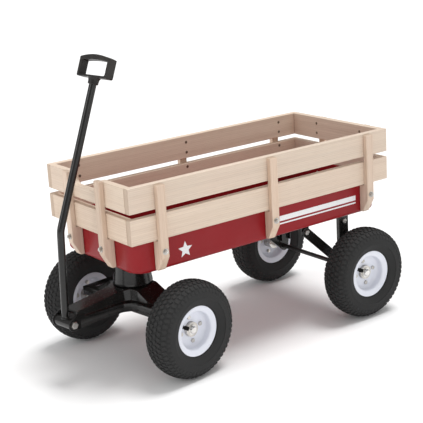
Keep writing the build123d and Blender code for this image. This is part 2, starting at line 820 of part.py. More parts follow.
def rim_half(axis_plane, sign):
    """One dished half of the split rim: disc, cone, bead seat and rolled lip."""
    outline = [
        (0, hub_r),
        (0, disc_edge_r),
        (8, seat_r),
        (rim_half_w - 4, seat_r),
        (rim_half_w - 1, seat_r + 3),
        (rim_half_w, rim_lip_r - 1),
        (rim_half_w + rim_t, rim_lip_r - 2),
        (rim_half_w + rim_t - 1, seat_r + 2),
        (rim_half_w - 3, seat_r - rim_t),
        (9, seat_r - rim_t),
        (rim_t, disc_edge_r - 1),
        (rim_t, hub_r),
    ]
    axis = Axis(axis_plane.origin, axis_plane.x_dir)
    with BuildPart() as half:
        with BuildSketch(axis_plane):
            with BuildLine():
                Polyline([(sign * u, r) for u, r in outline], close=True)
            make_face()
        revolve(axis=axis)
        for centre in rim_bolt_centres(axis_plane):
            with BuildSketch(Plane(origin=centre, z_dir=axis_plane.x_dir * sign)):
                Circle(rim_bolt_r)
            extrude(amount=rim_t, mode=Mode.SUBTRACT)
        if sign > 0:
            with BuildSketch(valve_plane(axis_plane)):
                Circle(valve_r)
            extrude(amount=valve_l, mode=Mode.SUBTRACT)
    return half.part


def valve_plane(axis_plane):
    """Plane at the foot of the valve stem, which leans outward and in towards the hub."""
    out = radial(axis_plane, valve_turn_deg)
    lean = radians(valve_lean_deg)
    along = axis_plane.x_dir * cos(lean) - out * sin(lean)
    return Plane(origin=axis_plane.origin + axis_plane.x_dir * valve_foot[0] + out * valve_foot[1], z_dir=along)


def make_tyre(axis_plane):
    """Tyre turned from its C-shaped section, bead to bead."""
    with BuildPart() as tyre:
        with BuildSketch(axis_plane):
            with BuildLine():
                outer = Spline(
                    (bead_half_w, bead_r),
                    (25.4, 58.0),
                    (27.0, 65.8),
                    (33.0, 72.5),
                    (tyre_half_w, 92.0),
                    (36.5, 113.0),
                    (20.0, 124.5),
                    (0, tyre_r),
                    tangents=((0.1, 1), (-1, 0)),
                )
                inner = Spline(
                    (0, 118.0),
                    (18.0, 116.0),
                    (29.5, 107.0),
                    (34.5, 90.0),
                    (27.5, 73.0),
                    (19.0, 62.0),
                    (17.0, bead_r),
                    tangents=((1, 0), (0, -1)),
                )
                Line(outer @ 1, inner @ 0)
                Line(inner @ 1, outer @ 0)
            make_face()
            mirror(about=Plane.YZ)
        revolve(axis=Axis(axis_plane.origin, axis_plane.x_dir))
    return tyre.part


def make_wheel(name, place):
    """One wheel: tyre with valve stem, two rim halves, hub with bearings, rim bolts."""
    axis_plane = placed(place, Plane.XZ)
    with BuildPart() as valve:
        with BuildSketch(valve_plane(axis_plane)):
            Circle(valve_r)
        extrude(amount=valve_l)
        chamfer(valve.faces().sort_by(Axis(axis_plane.origin, axis_plane.x_dir))[-1].edges(), length=0.6)
    save_group([make_tyre(axis_plane), valve.part], f"{name}_tyre")
    save(rim_half(axis_plane, 1), f"{name}_rim_outer")
    save(rim_half(axis_plane, -1), f"{name}_rim_inner")

    across = Plane(origin=axis_plane.origin, x_dir=axis_plane.y_dir, z_dir=axis_plane.x_dir)
    with BuildPart() as hub:
        with BuildSketch(across.offset(-hub_in)):
            Circle(hub_r)
            Circle(hub_r - hub_wall, mode=Mode.SUBTRACT)
        extrude(amount=hub_in + hub_out)
    bearings = [
        ring(across.offset(-hub_in), hub_bore_r, hub_r - hub_wall, bearing_w),
        ring(across.offset(hub_out - bearing_w), hub_bore_r, hub_r - hub_wall, bearing_w),
    ]
    save_group([hub.part] + bearings, f"{name}_hub")

    fixings = []
    for centre in rim_bolt_centres(axis_plane):
        outside = Plane(origin=centre, z_dir=axis_plane.x_dir).offset(rim_t)
        inside = Plane(origin=centre, z_dir=-axis_plane.x_dir).offset(rim_t)
        fixings.append(bolt(outside, 2 * rim_t + rim_bolt_end, rim_bolt_r, *rim_head))
        fixings.append(nut(inside, rim_bolt_r, *rim_nut))
    save_group(fixings, f"{name}_rim_bolts")


left_wheel = Location((half_track, 0, axle_z))
right_wheel = Location((-half_track, 0, axle_z), (0, 0, 180))
make_wheel("front_left", steer * left_wheel)
make_wheel("front_right", steer * right_wheel)
make_wheel("rear_left", rear * left_wheel)
make_wheel("rear_right", rear * right_wheel)
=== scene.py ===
"""Looks of a stake-sided pull wagon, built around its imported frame.

Metres, +Z up, tyres on Z = 0. The front of the wagon faces -Y and its left side is +X.
Shapes are given in millimetres and brought to metres by MM.
"""

from __future__ import annotations

import json
import logging
from collections.abc import Iterable, Sequence
from dataclasses import dataclass, field
from enum import Enum
from math import atan2, cos, degrees, hypot, pi, radians, sin, tan, tau

import bmesh
import bpy
from mathutils import Matrix, Vector

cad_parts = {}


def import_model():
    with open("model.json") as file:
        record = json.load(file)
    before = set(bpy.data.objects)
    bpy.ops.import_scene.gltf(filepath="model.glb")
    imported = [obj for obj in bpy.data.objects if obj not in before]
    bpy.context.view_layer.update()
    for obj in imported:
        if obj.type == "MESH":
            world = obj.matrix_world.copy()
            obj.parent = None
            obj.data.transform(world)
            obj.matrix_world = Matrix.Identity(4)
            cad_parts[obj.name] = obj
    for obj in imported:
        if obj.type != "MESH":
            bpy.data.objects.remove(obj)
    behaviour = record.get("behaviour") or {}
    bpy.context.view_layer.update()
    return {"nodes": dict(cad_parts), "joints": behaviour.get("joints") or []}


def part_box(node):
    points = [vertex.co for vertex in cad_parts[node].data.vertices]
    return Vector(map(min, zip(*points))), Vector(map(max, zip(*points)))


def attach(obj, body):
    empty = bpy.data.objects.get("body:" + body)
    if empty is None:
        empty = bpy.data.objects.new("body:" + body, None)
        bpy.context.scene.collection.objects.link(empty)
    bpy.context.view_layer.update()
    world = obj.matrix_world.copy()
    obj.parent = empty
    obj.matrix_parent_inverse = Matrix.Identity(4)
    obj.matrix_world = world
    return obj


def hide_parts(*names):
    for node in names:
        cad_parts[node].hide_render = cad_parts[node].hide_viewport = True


log = logging.getLogger("wagon")

MM = 0.001
MERGE_WITHIN = 1e-5
BEND_STEPS = 10
ROUND_STEPS = 48
Triple = tuple[float, float, float]
Colour = Triple
Point = tuple[float, float]
BMesh = bmesh.types.BMesh
BMVert = bmesh.types.BMVert
BMEdge = bmesh.types.BMEdge
ABOUT_X = {"cent": (0, 0, 0), "axis": (1, 0, 0), "dvec": (0, 0, 0)}


class Grain(Enum):
    """Way the grain of a piece of wood runs."""

    ALONG_X = "along_x"
    ALONG_Y = "along_y"
    UPRIGHT = "upright"

    @property
    def turn(self) -> Triple:
        """Rotation that brings the grain onto the pattern's own X axis."""
        turns = {
            Grain.ALONG_X: (0.0, 0.0, 0.0),
            Grain.ALONG_Y: (0.0, 0.0, pi / 2),
            Grain.UPRIGHT: (0.0, pi / 2, 0.0),
        }
        return turns[self]

    @property
    def axis(self) -> int:
        """Number of the axis along the grain."""
        return list(Grain).index(self)


# ---------------------------------------------------------------- node trees
class Tree:
    """Short way to write a shader node tree."""

    def __init__(self, tree: bpy.types.NodeTree) -> None:
        """Keep the tree that the other methods add to.

        Args:
            tree: Node tree of a material or of a node group.
        """
        self.tree = tree

    def add(self, kind: str, inputs: dict | None = None, **settings: object) -> bpy.types.Node:
        """Add one node.

        Args:
            kind: Blender's name for the node type.
            inputs: Socket name or number to a value, or to an output socket to link from.
            **settings: Attributes of the node itself.

        Returns:
            The new node.
        """
        node = self.tree.nodes.new(kind)
        for name, value in settings.items():
            setattr(node, name, value)
        self.feed_all(node, inputs or {})
        return node

    def feed_all(self, node: bpy.types.Node, inputs: dict) -> None:
        """Set or link several inputs of a node, each by its name or number."""
        for name, value in inputs.items():
            self.feed(node.inputs[name], value)

    def feed(self, socket: bpy.types.NodeSocket, value: object) -> None:
        """Set an input socket, or link it when the value is an output socket."""
        if isinstance(value, bpy.types.NodeSocket):
            self.tree.links.new(value, socket)
        else:
            socket.default_value = value

    def noise(self, vector: object, scale: float, detail: float = 4.0, rough: float = 0.55) -> object:
        """Output value of a noise texture read at a position."""
        inputs = {"Vector": vector, "Scale": scale, "Detail": detail, "Roughness": rough}
        return self.add("ShaderNodeTexNoise", inputs).outputs["Fac"]

    def stretch(
        self, vector: object, scale: Triple, turn: Triple = (0, 0, 0), shift: Triple = (0, 0, 0)
    ) -> object:
        """Position moved, turned and scaled for a pattern."""
        inputs = {"Vector": vector, "Location": shift, "Rotation": turn, "Scale": scale}
        return self.add("ShaderNodeMapping", inputs).outputs["Vector"]

    def span(self, value: object, low: float, high: float, to_low: float, to_high: float) -> object:
        """Value brought from one range to another and held inside it."""
        inputs = {"Value": value, "From Min": low, "From Max": high, "To Min": to_low, "To Max": to_high}
        return self.add("ShaderNodeMapRange", inputs).outputs["Result"]

    def maths(self, operation: str, *values: object) -> object:
        """Result of a maths node."""
        return self.add("ShaderNodeMath", dict(enumerate(values)), operation=operation).outputs[0]

    def mix(self, amount: object, first: object, second: object, blend: str = "MIX") -> object:
        """Colour mixed from two colours, each a socket or three numbers."""
        node = self.add("ShaderNodeMix", data_type="RGBA", blend_type=blend)
        for name, value in (("Factor", amount), ("A", first), ("B", second)):
            matching = [s for s in node.inputs if s.name == name and s.enabled]
            self.feed(matching[0], (*value, 1.0) if isinstance(value, tuple) else value)
        return next(s for s in node.outputs if s.enabled)

    def relief(self, height: object, edges: bpy.types.Node, strength: float, depth: float) -> object:
        """Normal bumped by a height, to a depth in metres, over softened edges."""
        inputs = {"Height": height, "Normal": edges.outputs["Normal"]}
        inputs.update({"Strength": strength, "Distance": depth})
        return self.add("ShaderNodeBump", inputs).outputs["Normal"]


class Effects:
    """Shader node groups that more than one finish uses, each built once."""

    def __init__(self) -> None:
        """Build the three groups."""
        self.edges = self._edges()
        self.mottle = self._mottle()
        self.dust = self._dust()

    @staticmethod
    def _start(name: str, inputs: dict[str, float], outputs: dict[str, str]) -> tuple[Tree, object, object]:
        """Begin a group with float inputs.

        Args:
            name: Name of the group.
            inputs: Input name to its default value.
            outputs: Output name to its socket type.

        Returns:
            The tree, its input node and its output node.
        """
        group = bpy.data.node_groups.new(name, "ShaderNodeTree")
        for label, value in inputs.items():
            socket = group.interface.new_socket(label, in_out="INPUT", socket_type="NodeSocketFloat")
            socket.default_value = value
        for label, kind in outputs.items():
            group.interface.new_socket(label, in_out="OUTPUT", socket_type=kind)
        return Tree(group), group.nodes.new("NodeGroupInput"), group.nodes.new("NodeGroupOutput")

    def _edges(self) -> bpy.types.NodeTree:
        """Rounded-over edges: a softened normal, and a broken mask along the edges."""
        outputs = {"Mask": "NodeSocketFloat", "Normal": "NodeSocketVector"}
        tree, source, sink = self._start("worn_edges", {"Radius": 0.001, "Break Up": 60.0}, outputs)
        soft = tree.add("ShaderNodeBevel", {"Radius": source.outputs["Radius"]}, samples=6)
        flat = tree.add("ShaderNodeNewGeometry").outputs["Normal"]
        inputs = {0: soft.outputs["Normal"], 1: flat}
        facing = tree.add("ShaderNodeVectorMath", inputs, operation="DOT_PRODUCT").outputs["Value"]
        edge = tree.span(facing, 0.75, 0.995, 1.0, 0.0)
        place = tree.add("ShaderNodeTexCoord").outputs["Object"]
        broken = tree.span(tree.noise(place, source.outputs["Break Up"]), 0.5, 0.62, 0.0, 1.0)
        tree.feed(sink.inputs["Mask"], tree.maths("MULTIPLY", edge, broken))
        tree.feed(sink.inputs["Normal"], soft.outputs["Normal"])
        return tree.tree

    def _mottle(self) -> bpy.types.NodeTree:
        """Two sizes of cloudiness: a broad one for colour and a fine one for roughness and height."""
        outputs = {"Broad": "NodeSocketFloat", "Fine": "NodeSocketFloat"}
        tree, source, sink = self._start("mottle", {"Broad Scale": 12.0, "Fine Scale": 400.0}, outputs)
        place = tree.add("ShaderNodeTexCoord").outputs["Object"]
        broad = tree.noise(place, source.outputs["Broad Scale"], 5.0)
        fine = tree.noise(place, source.outputs["Fine Scale"], 3.0)
        tree.feed(sink.inputs["Broad"], tree.span(broad, 0.3, 0.7, 0.0, 1.0))
        tree.feed(sink.inputs["Fine"], fine)
        return tree.tree

    def _dust(self) -> bpy.types.NodeTree:
        """Thin dust in soft patches and specks."""
        tree, source, sink = self._start("dust", {"Amount": 0.2, "Scale": 9.0}, {"Mask": "NodeSocketFloat"})
        place = tree.add("ShaderNodeTexCoord").outputs["Object"]
        patch = tree.span(tree.noise(place, source.outputs["Scale"], 6.0, 0.65), 0.42, 0.75, 0.0, 1.0)
        speck = tree.span(tree.noise(place, 900.0, 2.0), 0.45, 0.7, 0.35, 1.0)
        both = tree.maths("MULTIPLY", patch, speck)
        tree.feed(sink.inputs["Mask"], tree.maths("MULTIPLY", both, source.outputs["Amount"]))
        return tree.tree

    @staticmethod
    def place(tree: Tree, group: bpy.types.NodeTree, **values: float) -> bpy.types.Node:
        """Put a group in a material with its own values.

        Args:
            tree: Tree of the material.
            group: The group.
            **values: Input names, with _ for a space, and their values.

        Returns:
            The group's node.
        """
        node = tree.add("ShaderNodeGroup", node_tree=group)
        for name, value in values.items():
            node.inputs[name.replace("_", " ")].default_value = value
        return node


# ---------------------------------------------------------------- finishes
def start_material(name: str) -> tuple[bpy.types.Material, Tree, bpy.types.Node]:
    """Begin a material.

    Args:
        name: Name of the material.

    Returns:
        The material, its tree, and its Principled shader joined to the output.
    """
    material = bpy.data.materials.new(name)
    material.use_nodes = True
    material.node_tree.nodes.clear()
    tree = Tree(material.node_tree)
    shader = tree.add("ShaderNodeBsdfPrincipled")
    tree.add("ShaderNodeOutputMaterial", {"Surface": shader.outputs["BSDF"]})
    return material, tree, shader


@dataclass(frozen=True)
class Finish:
    """Look of a surface, and the material slot of the part that it stands for."""

    name: str
    slot: str

    def build(self, effects: Effects) -> bpy.types.Material:
        """Make the material.

        Args:
            effects: Shared node groups.

        Returns:
            The finished material.
        """
        material, tree, shader = start_material(self.name)
        tree.feed_all(shader, self._inputs(tree, effects))
        return material

    def _inputs(self, tree: Tree, effects: Effects) -> dict[str, object]:
        """Nodes of the finish, given as the values and sockets that feed its shader."""
        raise NotImplementedError


@dataclass(frozen=True)
class Enamel(Finish):
    """Sprayed or powder-coated paint on steel, or moulded plastic, with softened edges."""

    colour: Colour
    shade: Colour
    rough: tuple[float, float] = (0.22, 0.34)
    coat: float = 0.3
    coat_rough: float = 0.08
    specular: float = 0.5
    peel: float = 0.05
    peel_scale: float = 260.0
    peel_depth: float = 0.0006
    edge: float = 0.0009
    wear: Colour = (0.3, 0.3, 0.3)
    wear_amount: float = 0.25
    dust: Colour = (0.55, 0.5, 0.43)
    dust_amount: float = 0.1

    def _inputs(self, tree: Tree, effects: Effects) -> dict[str, object]:
        """Mottled paint, worn at the edges and dusted, over orange peel."""
        mottle = effects.place(tree, effects.mottle, Broad_Scale=7.0, Fine_Scale=self.peel_scale)
        edges = effects.place(tree, effects.edges, Radius=self.edge, Break_Up=90.0)
        dust = effects.place(tree, effects.dust, Amount=self.dust_amount)
        paint = tree.mix(mottle.outputs["Broad"], self.colour, self.shade)
        worn = tree.maths("MULTIPLY", edges.outputs["Mask"], self.wear_amount)
        paint = tree.mix(worn, paint, self.wear)
        paint = tree.mix(dust.outputs["Mask"], paint, self.dust)
        rough = tree.span(mottle.outputs["Fine"], 0.3, 0.7, *self.rough)
        return {
            "Base Color": paint,
            "Roughness": tree.maths("ADD", rough, dust.outputs["Mask"]),
            "Normal": tree.relief(mottle.outputs["Fine"], edges, self.peel, self.peel_depth),
            "Coat Weight": self.coat,
            "Coat Roughness": self.coat_rough,
            "Specular IOR Level": self.specular,
        }


@dataclass(frozen=True)
class Timber(Finish):
    """Planed softwood with growth rings, fibre and open pores, lightly lacquered."""

    grain: Grain
    seed: float
    early: Colour = (0.75, 0.615, 0.49)
    late: Colour = (0.57, 0.42, 0.31)
    streak: Colour = (0.86, 0.73, 0.59)
    fibre: Colour = (0.55, 0.40, 0.28)
    blush: Colour = (0.72, 0.52, 0.42)
    pore: Colour = (0.36, 0.24, 0.16)
    sawn: Colour = (0.40, 0.29, 0.205)
    soiled: Colour = (0.38, 0.26, 0.18)
    rings_per_m: float = 230.0
    ring_drift: float = 7.0

    def _inputs(self, tree: Tree, effects: Effects) -> dict[str, object]:
        """Rings, fibre, streaks and pores along the grain, and darker sawn ends and edges."""
        place = tree.add("ShaderNodeTexCoord").outputs["Object"]
        along = tree.stretch(place, (1.0, 1.0, 1.0), turn=self.grain.turn, shift=self._pith())
        drift = tree.noise(tree.stretch(along, (1.2, 9.0, 9.0)), 1.0, 3.0)
        parts = tree.add("ShaderNodeSeparateXYZ", {0: along}).outputs
        squares = [tree.maths("POWER", part, 2.0) for part in (parts[1], parts[2])]
        rings = tree.maths("MULTIPLY", tree.maths("SQRT", tree.maths("ADD", *squares)), self.rings_per_m)
        ring_at = tree.maths("ADD", rings, tree.maths("MULTIPLY", drift, self.ring_drift))
        ring = tree.span(tree.maths("FRACT", ring_at), 0.35, 0.95, 0.0, 1.0)
        fibre = tree.noise(tree.stretch(along, (7.0, 900.0, 900.0)), 1.0, 4.0)
        streak = tree.noise(tree.stretch(along, (1.6, 120.0, 120.0)), 1.0, 5.0, 0.6)
        speck = tree.noise(tree.stretch(along, (30.0, 1500.0, 1500.0)), 1.0, 1.0)
        pore = tree.span(speck, 0.62, 0.74, 0.0, 1.0)
        cloud = tree.span(tree.noise(along, 5.0, 3.0), 0.3, 0.7, 0.0, 1.0)
        wood = tree.mix(tree.maths("MULTIPLY", ring, 0.42), self.early, self.late)
        wood = tree.mix(tree.span(streak, 0.35, 0.75, 0.0, 0.5), wood, self.streak)
        wood = tree.mix(tree.span(fibre, 0.45, 0.75, 0.0, 0.35), wood, self.fibre)
        wood = tree.mix(tree.maths("MULTIPLY", cloud, 0.22), wood, self.blush)
        wood = tree.mix(tree.maths("MULTIPLY", pore, 0.35), wood, self.pore)
        facing = tree.add("ShaderNodeTexCoord").outputs["Normal"]
        normal = tree.add("ShaderNodeSeparateXYZ", {0: facing}).outputs[self.grain.axis]
        sawn = tree.span(tree.maths("ABSOLUTE", normal), 0.6, 0.9, 0.0, 0.6)
        wood = tree.mix(sawn, wood, self.sawn)
        edges = effects.place(tree, effects.edges, Radius=0.0012, Break_Up=45.0)
        wood = tree.mix(tree.maths("MULTIPLY", edges.outputs["Mask"], 0.45), wood, self.soiled)
        height = tree.maths("SUBTRACT", fibre, tree.maths("MULTIPLY", pore, 0.5))
        return {
            "Base Color": wood,
            "Roughness": tree.span(fibre, 0.3, 0.7, 0.48, 0.66),
            "Normal": tree.relief(height, edges, 0.25, 0.0004),
            "Coat Weight": 0.08,
            "Coat Roughness": 0.35,
        }

    def _pith(self) -> Triple:
        """Place of the pith beside the board, in metres and the board's own."""
        beside = 0.05 + 0.02 * sin(self.seed * 7.3)
        above = 0.06 + 0.03 * cos(self.seed * 4.7)
        return (self.seed * 3.1, beside, above)


@dataclass(frozen=True)
class Rubber(Finish):
    """Charcoal tyre rubber, with dust settled in its grain."""

    colour: Colour = (0.0090, 0.0080, 0.0072)
    fade: float = 0.7
    scuff: Colour = (0.05, 0.046, 0.042)
    dust: Colour = (0.052, 0.046, 0.040)
    dust_amount: float = 0.2

    def _inputs(self, tree: Tree, effects: Effects) -> dict[str, object]:
        """Mottled skin, scuffed at the edges and dusted."""
        mottle = effects.place(tree, effects.mottle, Broad_Scale=18.0, Fine_Scale=520.0)
        dust = effects.place(tree, effects.dust, Amount=self.dust_amount, Scale=22.0)
        edges = effects.place(tree, effects.edges, Radius=0.0007, Break_Up=70.0)
        faded = tuple(self.fade * part for part in self.colour)
        skin = tree.mix(mottle.outputs["Broad"], self.colour, faded)
        skin = tree.mix(tree.maths("MULTIPLY", edges.outputs["Mask"], 0.2), skin, self.scuff)
        skin = tree.mix(dust.outputs["Mask"], skin, self.dust)
        return {
            "Base Color": skin,
            "Roughness": tree.span(mottle.outputs["Fine"], 0.3, 0.7, 0.5, 0.68),
            "Normal": tree.relief(mottle.outputs["Fine"], edges, 0.3, 0.0005),
            "Specular IOR Level": 0.06,
        }


@dataclass(frozen=True)
class Plating(Finish):
    """Bright or dull metal plating with a fine bumpy texture and a little tarnish."""

    colour: Colour
    tarnish: Colour
    rough: tuple[float, float] = (0.22, 0.38)

    def _inputs(self, tree: Tree, effects: Effects) -> dict[str, object]:
        """Bare metal, tarnished in soft patches."""
        mottle = effects.place(tree, effects.mottle, Broad_Scale=60.0, Fine_Scale=1200.0)
        edges = effects.place(tree, effects.edges, Radius=0.0005, Break_Up=200.0)
        return {
            "Base Color": tree.mix(mottle.outputs["Broad"], self.colour, self.tarnish),
            "Roughness": tree.span(mottle.outputs["Broad"], 0.0, 1.0, *self.rough),
            "Normal": tree.relief(mottle.outputs["Fine"], edges, 0.08, 0.0003),
            "Metallic": 1.0,
        }


# ---------------------------------------------------------------- mesh work
def of_kind(items: Iterable, kind: type) -> list:
    """Items of one kind, out of all that an operator made."""
    return [item for item in items if isinstance(item, kind)]


def whole(mesh: BMesh) -> list:
    """Every point, edge and face of a mesh."""
    return list(mesh.verts) + list(mesh.edges) + list(mesh.faces)


def outline_edges(mesh: BMesh, points: Iterable[Sequence[float]], closed: bool) -> list:
    """Add a run of points joined by edges.

    Args:
        mesh: Mesh to add to.
        points: Places of the points, in millimetres.
        closed: Whether the last point joins the first.

    Returns:
        The new edges.
    """
    verts = [mesh.verts.new(Vector(point) * MM) for point in points]
    pairs = list(zip(verts, verts[1:]))
    if closed:
        pairs.append((verts[-1], verts[0]))
    return [mesh.edges.new(pair) for pair in pairs]


def turned(outline: Sequence[Point], steps: int, closed: bool = True) -> BMesh:
    """Shape turned about the X axis.

    Args:
        outline: Points of the section as (along the axis, out from it), in millimetres.
        steps: Number of faces round the axis.
        closed: Whether the section is a closed ring, or starts and ends on the axis.

    Returns:
        The new mesh.
    """
    mesh = bmesh.new()
    edges = outline_edges(mesh, [(along, 0.0, out) for along, out in outline], closed)
    spin = {"angle": tau, "steps": steps, "use_merge": True, "use_duplicate": False, **ABOUT_X}
    bmesh.ops.spin(mesh, geom=list(mesh.verts) + edges, **spin)
    tidy(mesh)
    return mesh


def pull_ring(mesh: BMesh, edges: list, step: Vector) -> list:
    """Carry a ring of edges along a step in millimetres and give the ring it ends in."""
    made = bmesh.ops.extrude_edge_only(mesh, edges=edges)["geom"]
    bmesh.ops.translate(mesh, verts=of_kind(made, BMVert), vec=step * MM)
    return of_kind(made, BMEdge)


def bend_ring(mesh: BMesh, edges: list, centre: Vector, axis: Triple, angle: float) -> list:
    """Carry a ring of edges round a centre given in metres and give the ring it ends in."""
    verts = list({vert for edge in edges for vert in edge.verts})
    turn = {"cent": centre, "axis": axis, "dvec": (0, 0, 0), "angle": angle, "steps": BEND_STEPS}
    made = bmesh.ops.spin(mesh, geom=verts + edges, use_duplicate=False, **turn)["geom_last"]
    return of_kind(made, BMEdge)


def stood_up(mesh: BMesh) -> BMesh:
    """Stand a shape turned about the X axis upright, with its start at the foot."""
    upright = Matrix.Rotation(-pi / 2, 3, "Y")
    bmesh.ops.rotate(mesh, verts=mesh.verts, cent=(0, 0, 0), matrix=upright)
    return mesh


def tidy(mesh: BMesh) -> None:
    """Join points that coincide and turn every face outwards."""
    bmesh.ops.remove_doubles(mesh, verts=mesh.verts, dist=MERGE_WITHIN)
    bmesh.ops.recalc_face_normals(mesh, faces=mesh.faces)


def block(size: Sequence[float], place: Matrix, round_over: float) -> BMesh:
    """Rectangular block with softened edges.

    Args:
        size: Full sizes in millimetres.
        place: Where the block's centre stands, in millimetres.
        round_over: Width of the softening in millimetres.

    Returns:
        The new mesh.
    """
    mesh = bmesh.new()
    bmesh.ops.create_cube(mesh, size=MM, matrix=Matrix.Diagonal((*size, 1.0)))
    soften(mesh, round_over, 1)
    bmesh.ops.transform(mesh, matrix=in_metres(place), verts=mesh.verts)
    return mesh


def soften(mesh: BMesh, width: float, segments: int) -> None:
    """Round over every edge of a mesh by a width in millimetres."""
    sizes = {"offset": width * MM, "segments": segments, "profile": 0.5, "material": -1}
    bmesh.ops.bevel(mesh, geom=mesh.edges, affect="EDGES", clamp_overlap=True, **sizes)


def in_metres(place: Matrix) -> Matrix:
    """Matrix with its move brought from millimetres to metres."""
    moved = place.copy()
    moved.translation = place.translation * MM
    return moved


def plate(outline: Sequence[Sequence[float]], through: Sequence[float]) -> BMesh:
    """Flat plate pulled from an outline.

    Args:
        outline: Corners in millimetres, in order round the plate.
        through: How far and which way the plate is thick, in millimetres.

    Returns:
        The new mesh.
    """
    mesh = bmesh.new()
    edges = outline_edges(mesh, outline, closed=True)
    face = bmesh.ops.contextual_create(mesh, geom=edges)["faces"]
    pulled = bmesh.ops.extrude_face_region(mesh, geom=face)["geom"]
    verts = of_kind(pulled, BMVert)
    bmesh.ops.translate(mesh, verts=verts, vec=Vector(through) * MM)
    tidy(mesh)
    return mesh


def arc(centre: Point, radius: float, start_deg: float, end_deg: float, steps: int) -> list[Point]:
    """Points on an arc, ends included."""
    turns = [radians(start_deg + (end_deg - start_deg) * step / steps) for step in range(steps + 1)]
    return [(centre[0] + radius * cos(turn), centre[1] + radius * sin(turn)) for turn in turns]


def join(first: BMesh, *others: BMesh) -> BMesh:
    """Put several meshes into the first one."""
    for other in others:
        held = bpy.data.meshes.new("held")
        other.to_mesh(held)
        other.free()
        first.from_mesh(held)
        bpy.data.meshes.remove(held)
    return first


def put_in(name: str, data: bpy.types.ID) -> bpy.types.Object:
    """Add an object with its data to the scene."""
    made = bpy.data.objects.new(name, data)
    bpy.context.scene.collection.objects.link(made)
    return made


@dataclass
class Maker:
    """Turns finished meshes into pieces that ride on the wagon's bodies."""

    nodes: dict[str, bpy.types.Object]
    effects: Effects

    def piece(
        self,
        name: str,
        mesh: BMesh,
        finish: Finish,
        body: str,
        replaces: Sequence[str] = (),
        place: Matrix | None = None,
        sharp_deg: float = 35.0,
    ) -> bpy.types.Object:
        """Make one visible piece.

        Args:
            name: Name of the piece.
            mesh: Its shape, which is freed here.
            finish: Its finish.
            body: Body that it moves with.
            replaces: Frame nodes that it stands for.
            place: Where the shape stands in the wagon, in metres.
            sharp_deg: Angle between faces above which an edge stays sharp.

        Returns:
            The new object.
        """
        if place is not None:
            bmesh.ops.transform(mesh, matrix=place, verts=mesh.verts)
        data = bpy.data.meshes.new(name)
        mesh.to_mesh(data)
        mesh.free()
        data.shade_smooth()
        data.set_sharp_from_angle(angle=radians(sharp_deg))
        data.materials.append(self.material(finish))
        made = put_in(name, data)
        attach(made, body)
        if replaces:
            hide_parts(*replaces)
        log.info("%s: %d faces on %s", name, len(data.polygons), body)
        return made

    def material(self, finish: Finish) -> bpy.types.Material:
        """Material of a finish, built the first time it is asked for."""
        return bpy.data.materials.get(finish.name) or finish.build(self.effects)

    def dress(self, node: str, finish: Finish) -> None:
        """Give a frame node its finish."""
        for slot in self.nodes[node].material_slots:
            slot.material = self.material(finish)
        log.info("%s: dressed in %s", node, finish.name)


def add_subdivision(piece: bpy.types.Object, levels: int) -> None:
    """Finish a piece with a subdivision surface."""
    modifier = piece.modifiers.new("subdivision", "SUBSURF")
    modifier.levels = levels
    modifier.render_levels = levels


def add_bevel(piece: bpy.types.Object, width: float, segments: int, above_deg: float = 28.0) -> None:
    """Finish a piece with rounded edges of a width in millimetres."""
    modifier = piece.modifiers.new("rounding", "BEVEL")
    modifier.width = width * MM
    modifier.segments = segments
    modifier.limit_method = "ANGLE"
    modifier.angle_limit = radians(above_deg)


def add_wall(piece: bpy.types.Object, thickness: float) -> None:
    """Give an open shell a wall, inwards, of a thickness in millimetres."""
    modifier = piece.modifiers.new("wall", "SOLIDIFY")
    modifier.thickness = thickness * MM
    modifier.offset = -1.0


# ---------------------------------------------------------------- the wagon's own finishes
RED_ENAMEL = Enamel(
    "red_enamel",
    "red_paint",
    (0.275, 0.0085, 0.0130),
    (0.245, 0.0070, 0.0105),
    rough=(0.3, 0.4),
    coat=0.0,
    specular=0.22,
    wear=(0.45, 0.12, 0.1),
    dust_amount=0.04,
)
BLACK_COAT = Enamel(
    "black_powder_coat",
    "black_paint",
    (0.0085, 0.0080, 0.0076),
    (0.0068, 0.0064, 0.0062),
    rough=(0.16, 0.28),
    coat=0.0,
    specular=0.45,
    wear=(0.12, 0.12, 0.12),
    dust_amount=0.03,
)
BLACK_MOULDED = Enamel(
    "black_moulded_plastic",
    "black_plastic",
    (0.013, 0.0115, 0.011),
    (0.010, 0.009, 0.0088),
    rough=(0.34, 0.46),
    coat=0.0,
    specular=0.3,
    peel=0.25,
    peel_scale=900.0,
    wear=(0.06, 0.06, 0.06),
)
WHITE_COAT = Enamel(
    "white_powder_coat",
    "white_paint",
    (0.80, 0.82, 0.89),
    (0.75, 0.77, 0.85),
    rough=(0.3, 0.42),
    coat=0.12,
    wear_amount=0.1,
)
WHITE_PRINT = Enamel(
    "white_print", "white_paint", (0.85, 0.85, 0.86), (0.8, 0.8, 0.81), coat=0.1, edge=0.0001
)
AXLE_BLACK = Enamel(
    "axle_black",
    "axle_steel",
    (0.014, 0.0135, 0.013),
    (0.011, 0.011, 0.010),
    rough=(0.3, 0.42),
    coat=0.1,
)
TYRE_RUBBER = Rubber("tyre_rubber", "tyre_rubber")
VALVE_RUBBER = Rubber("valve_rubber", "tyre_rubber", colour=(0.012, 0.012, 0.012), dust_amount=0.15)
ZINC = Plating("bright_zinc", "zinc", (0.66, 0.64, 0.61), (0.48, 0.46, 0.43))
CHROME = Plating("bright_cap", "zinc", (0.78, 0.77, 0.75), (0.66, 0.65, 0.63), rough=(0.1, 0.2))
DARK_PLATE = Plating(
    "dark_plated_screw", "dark_zinc", (0.26, 0.21, 0.15), (0.16, 0.13, 0.10), rough=(0.35, 0.5)
)


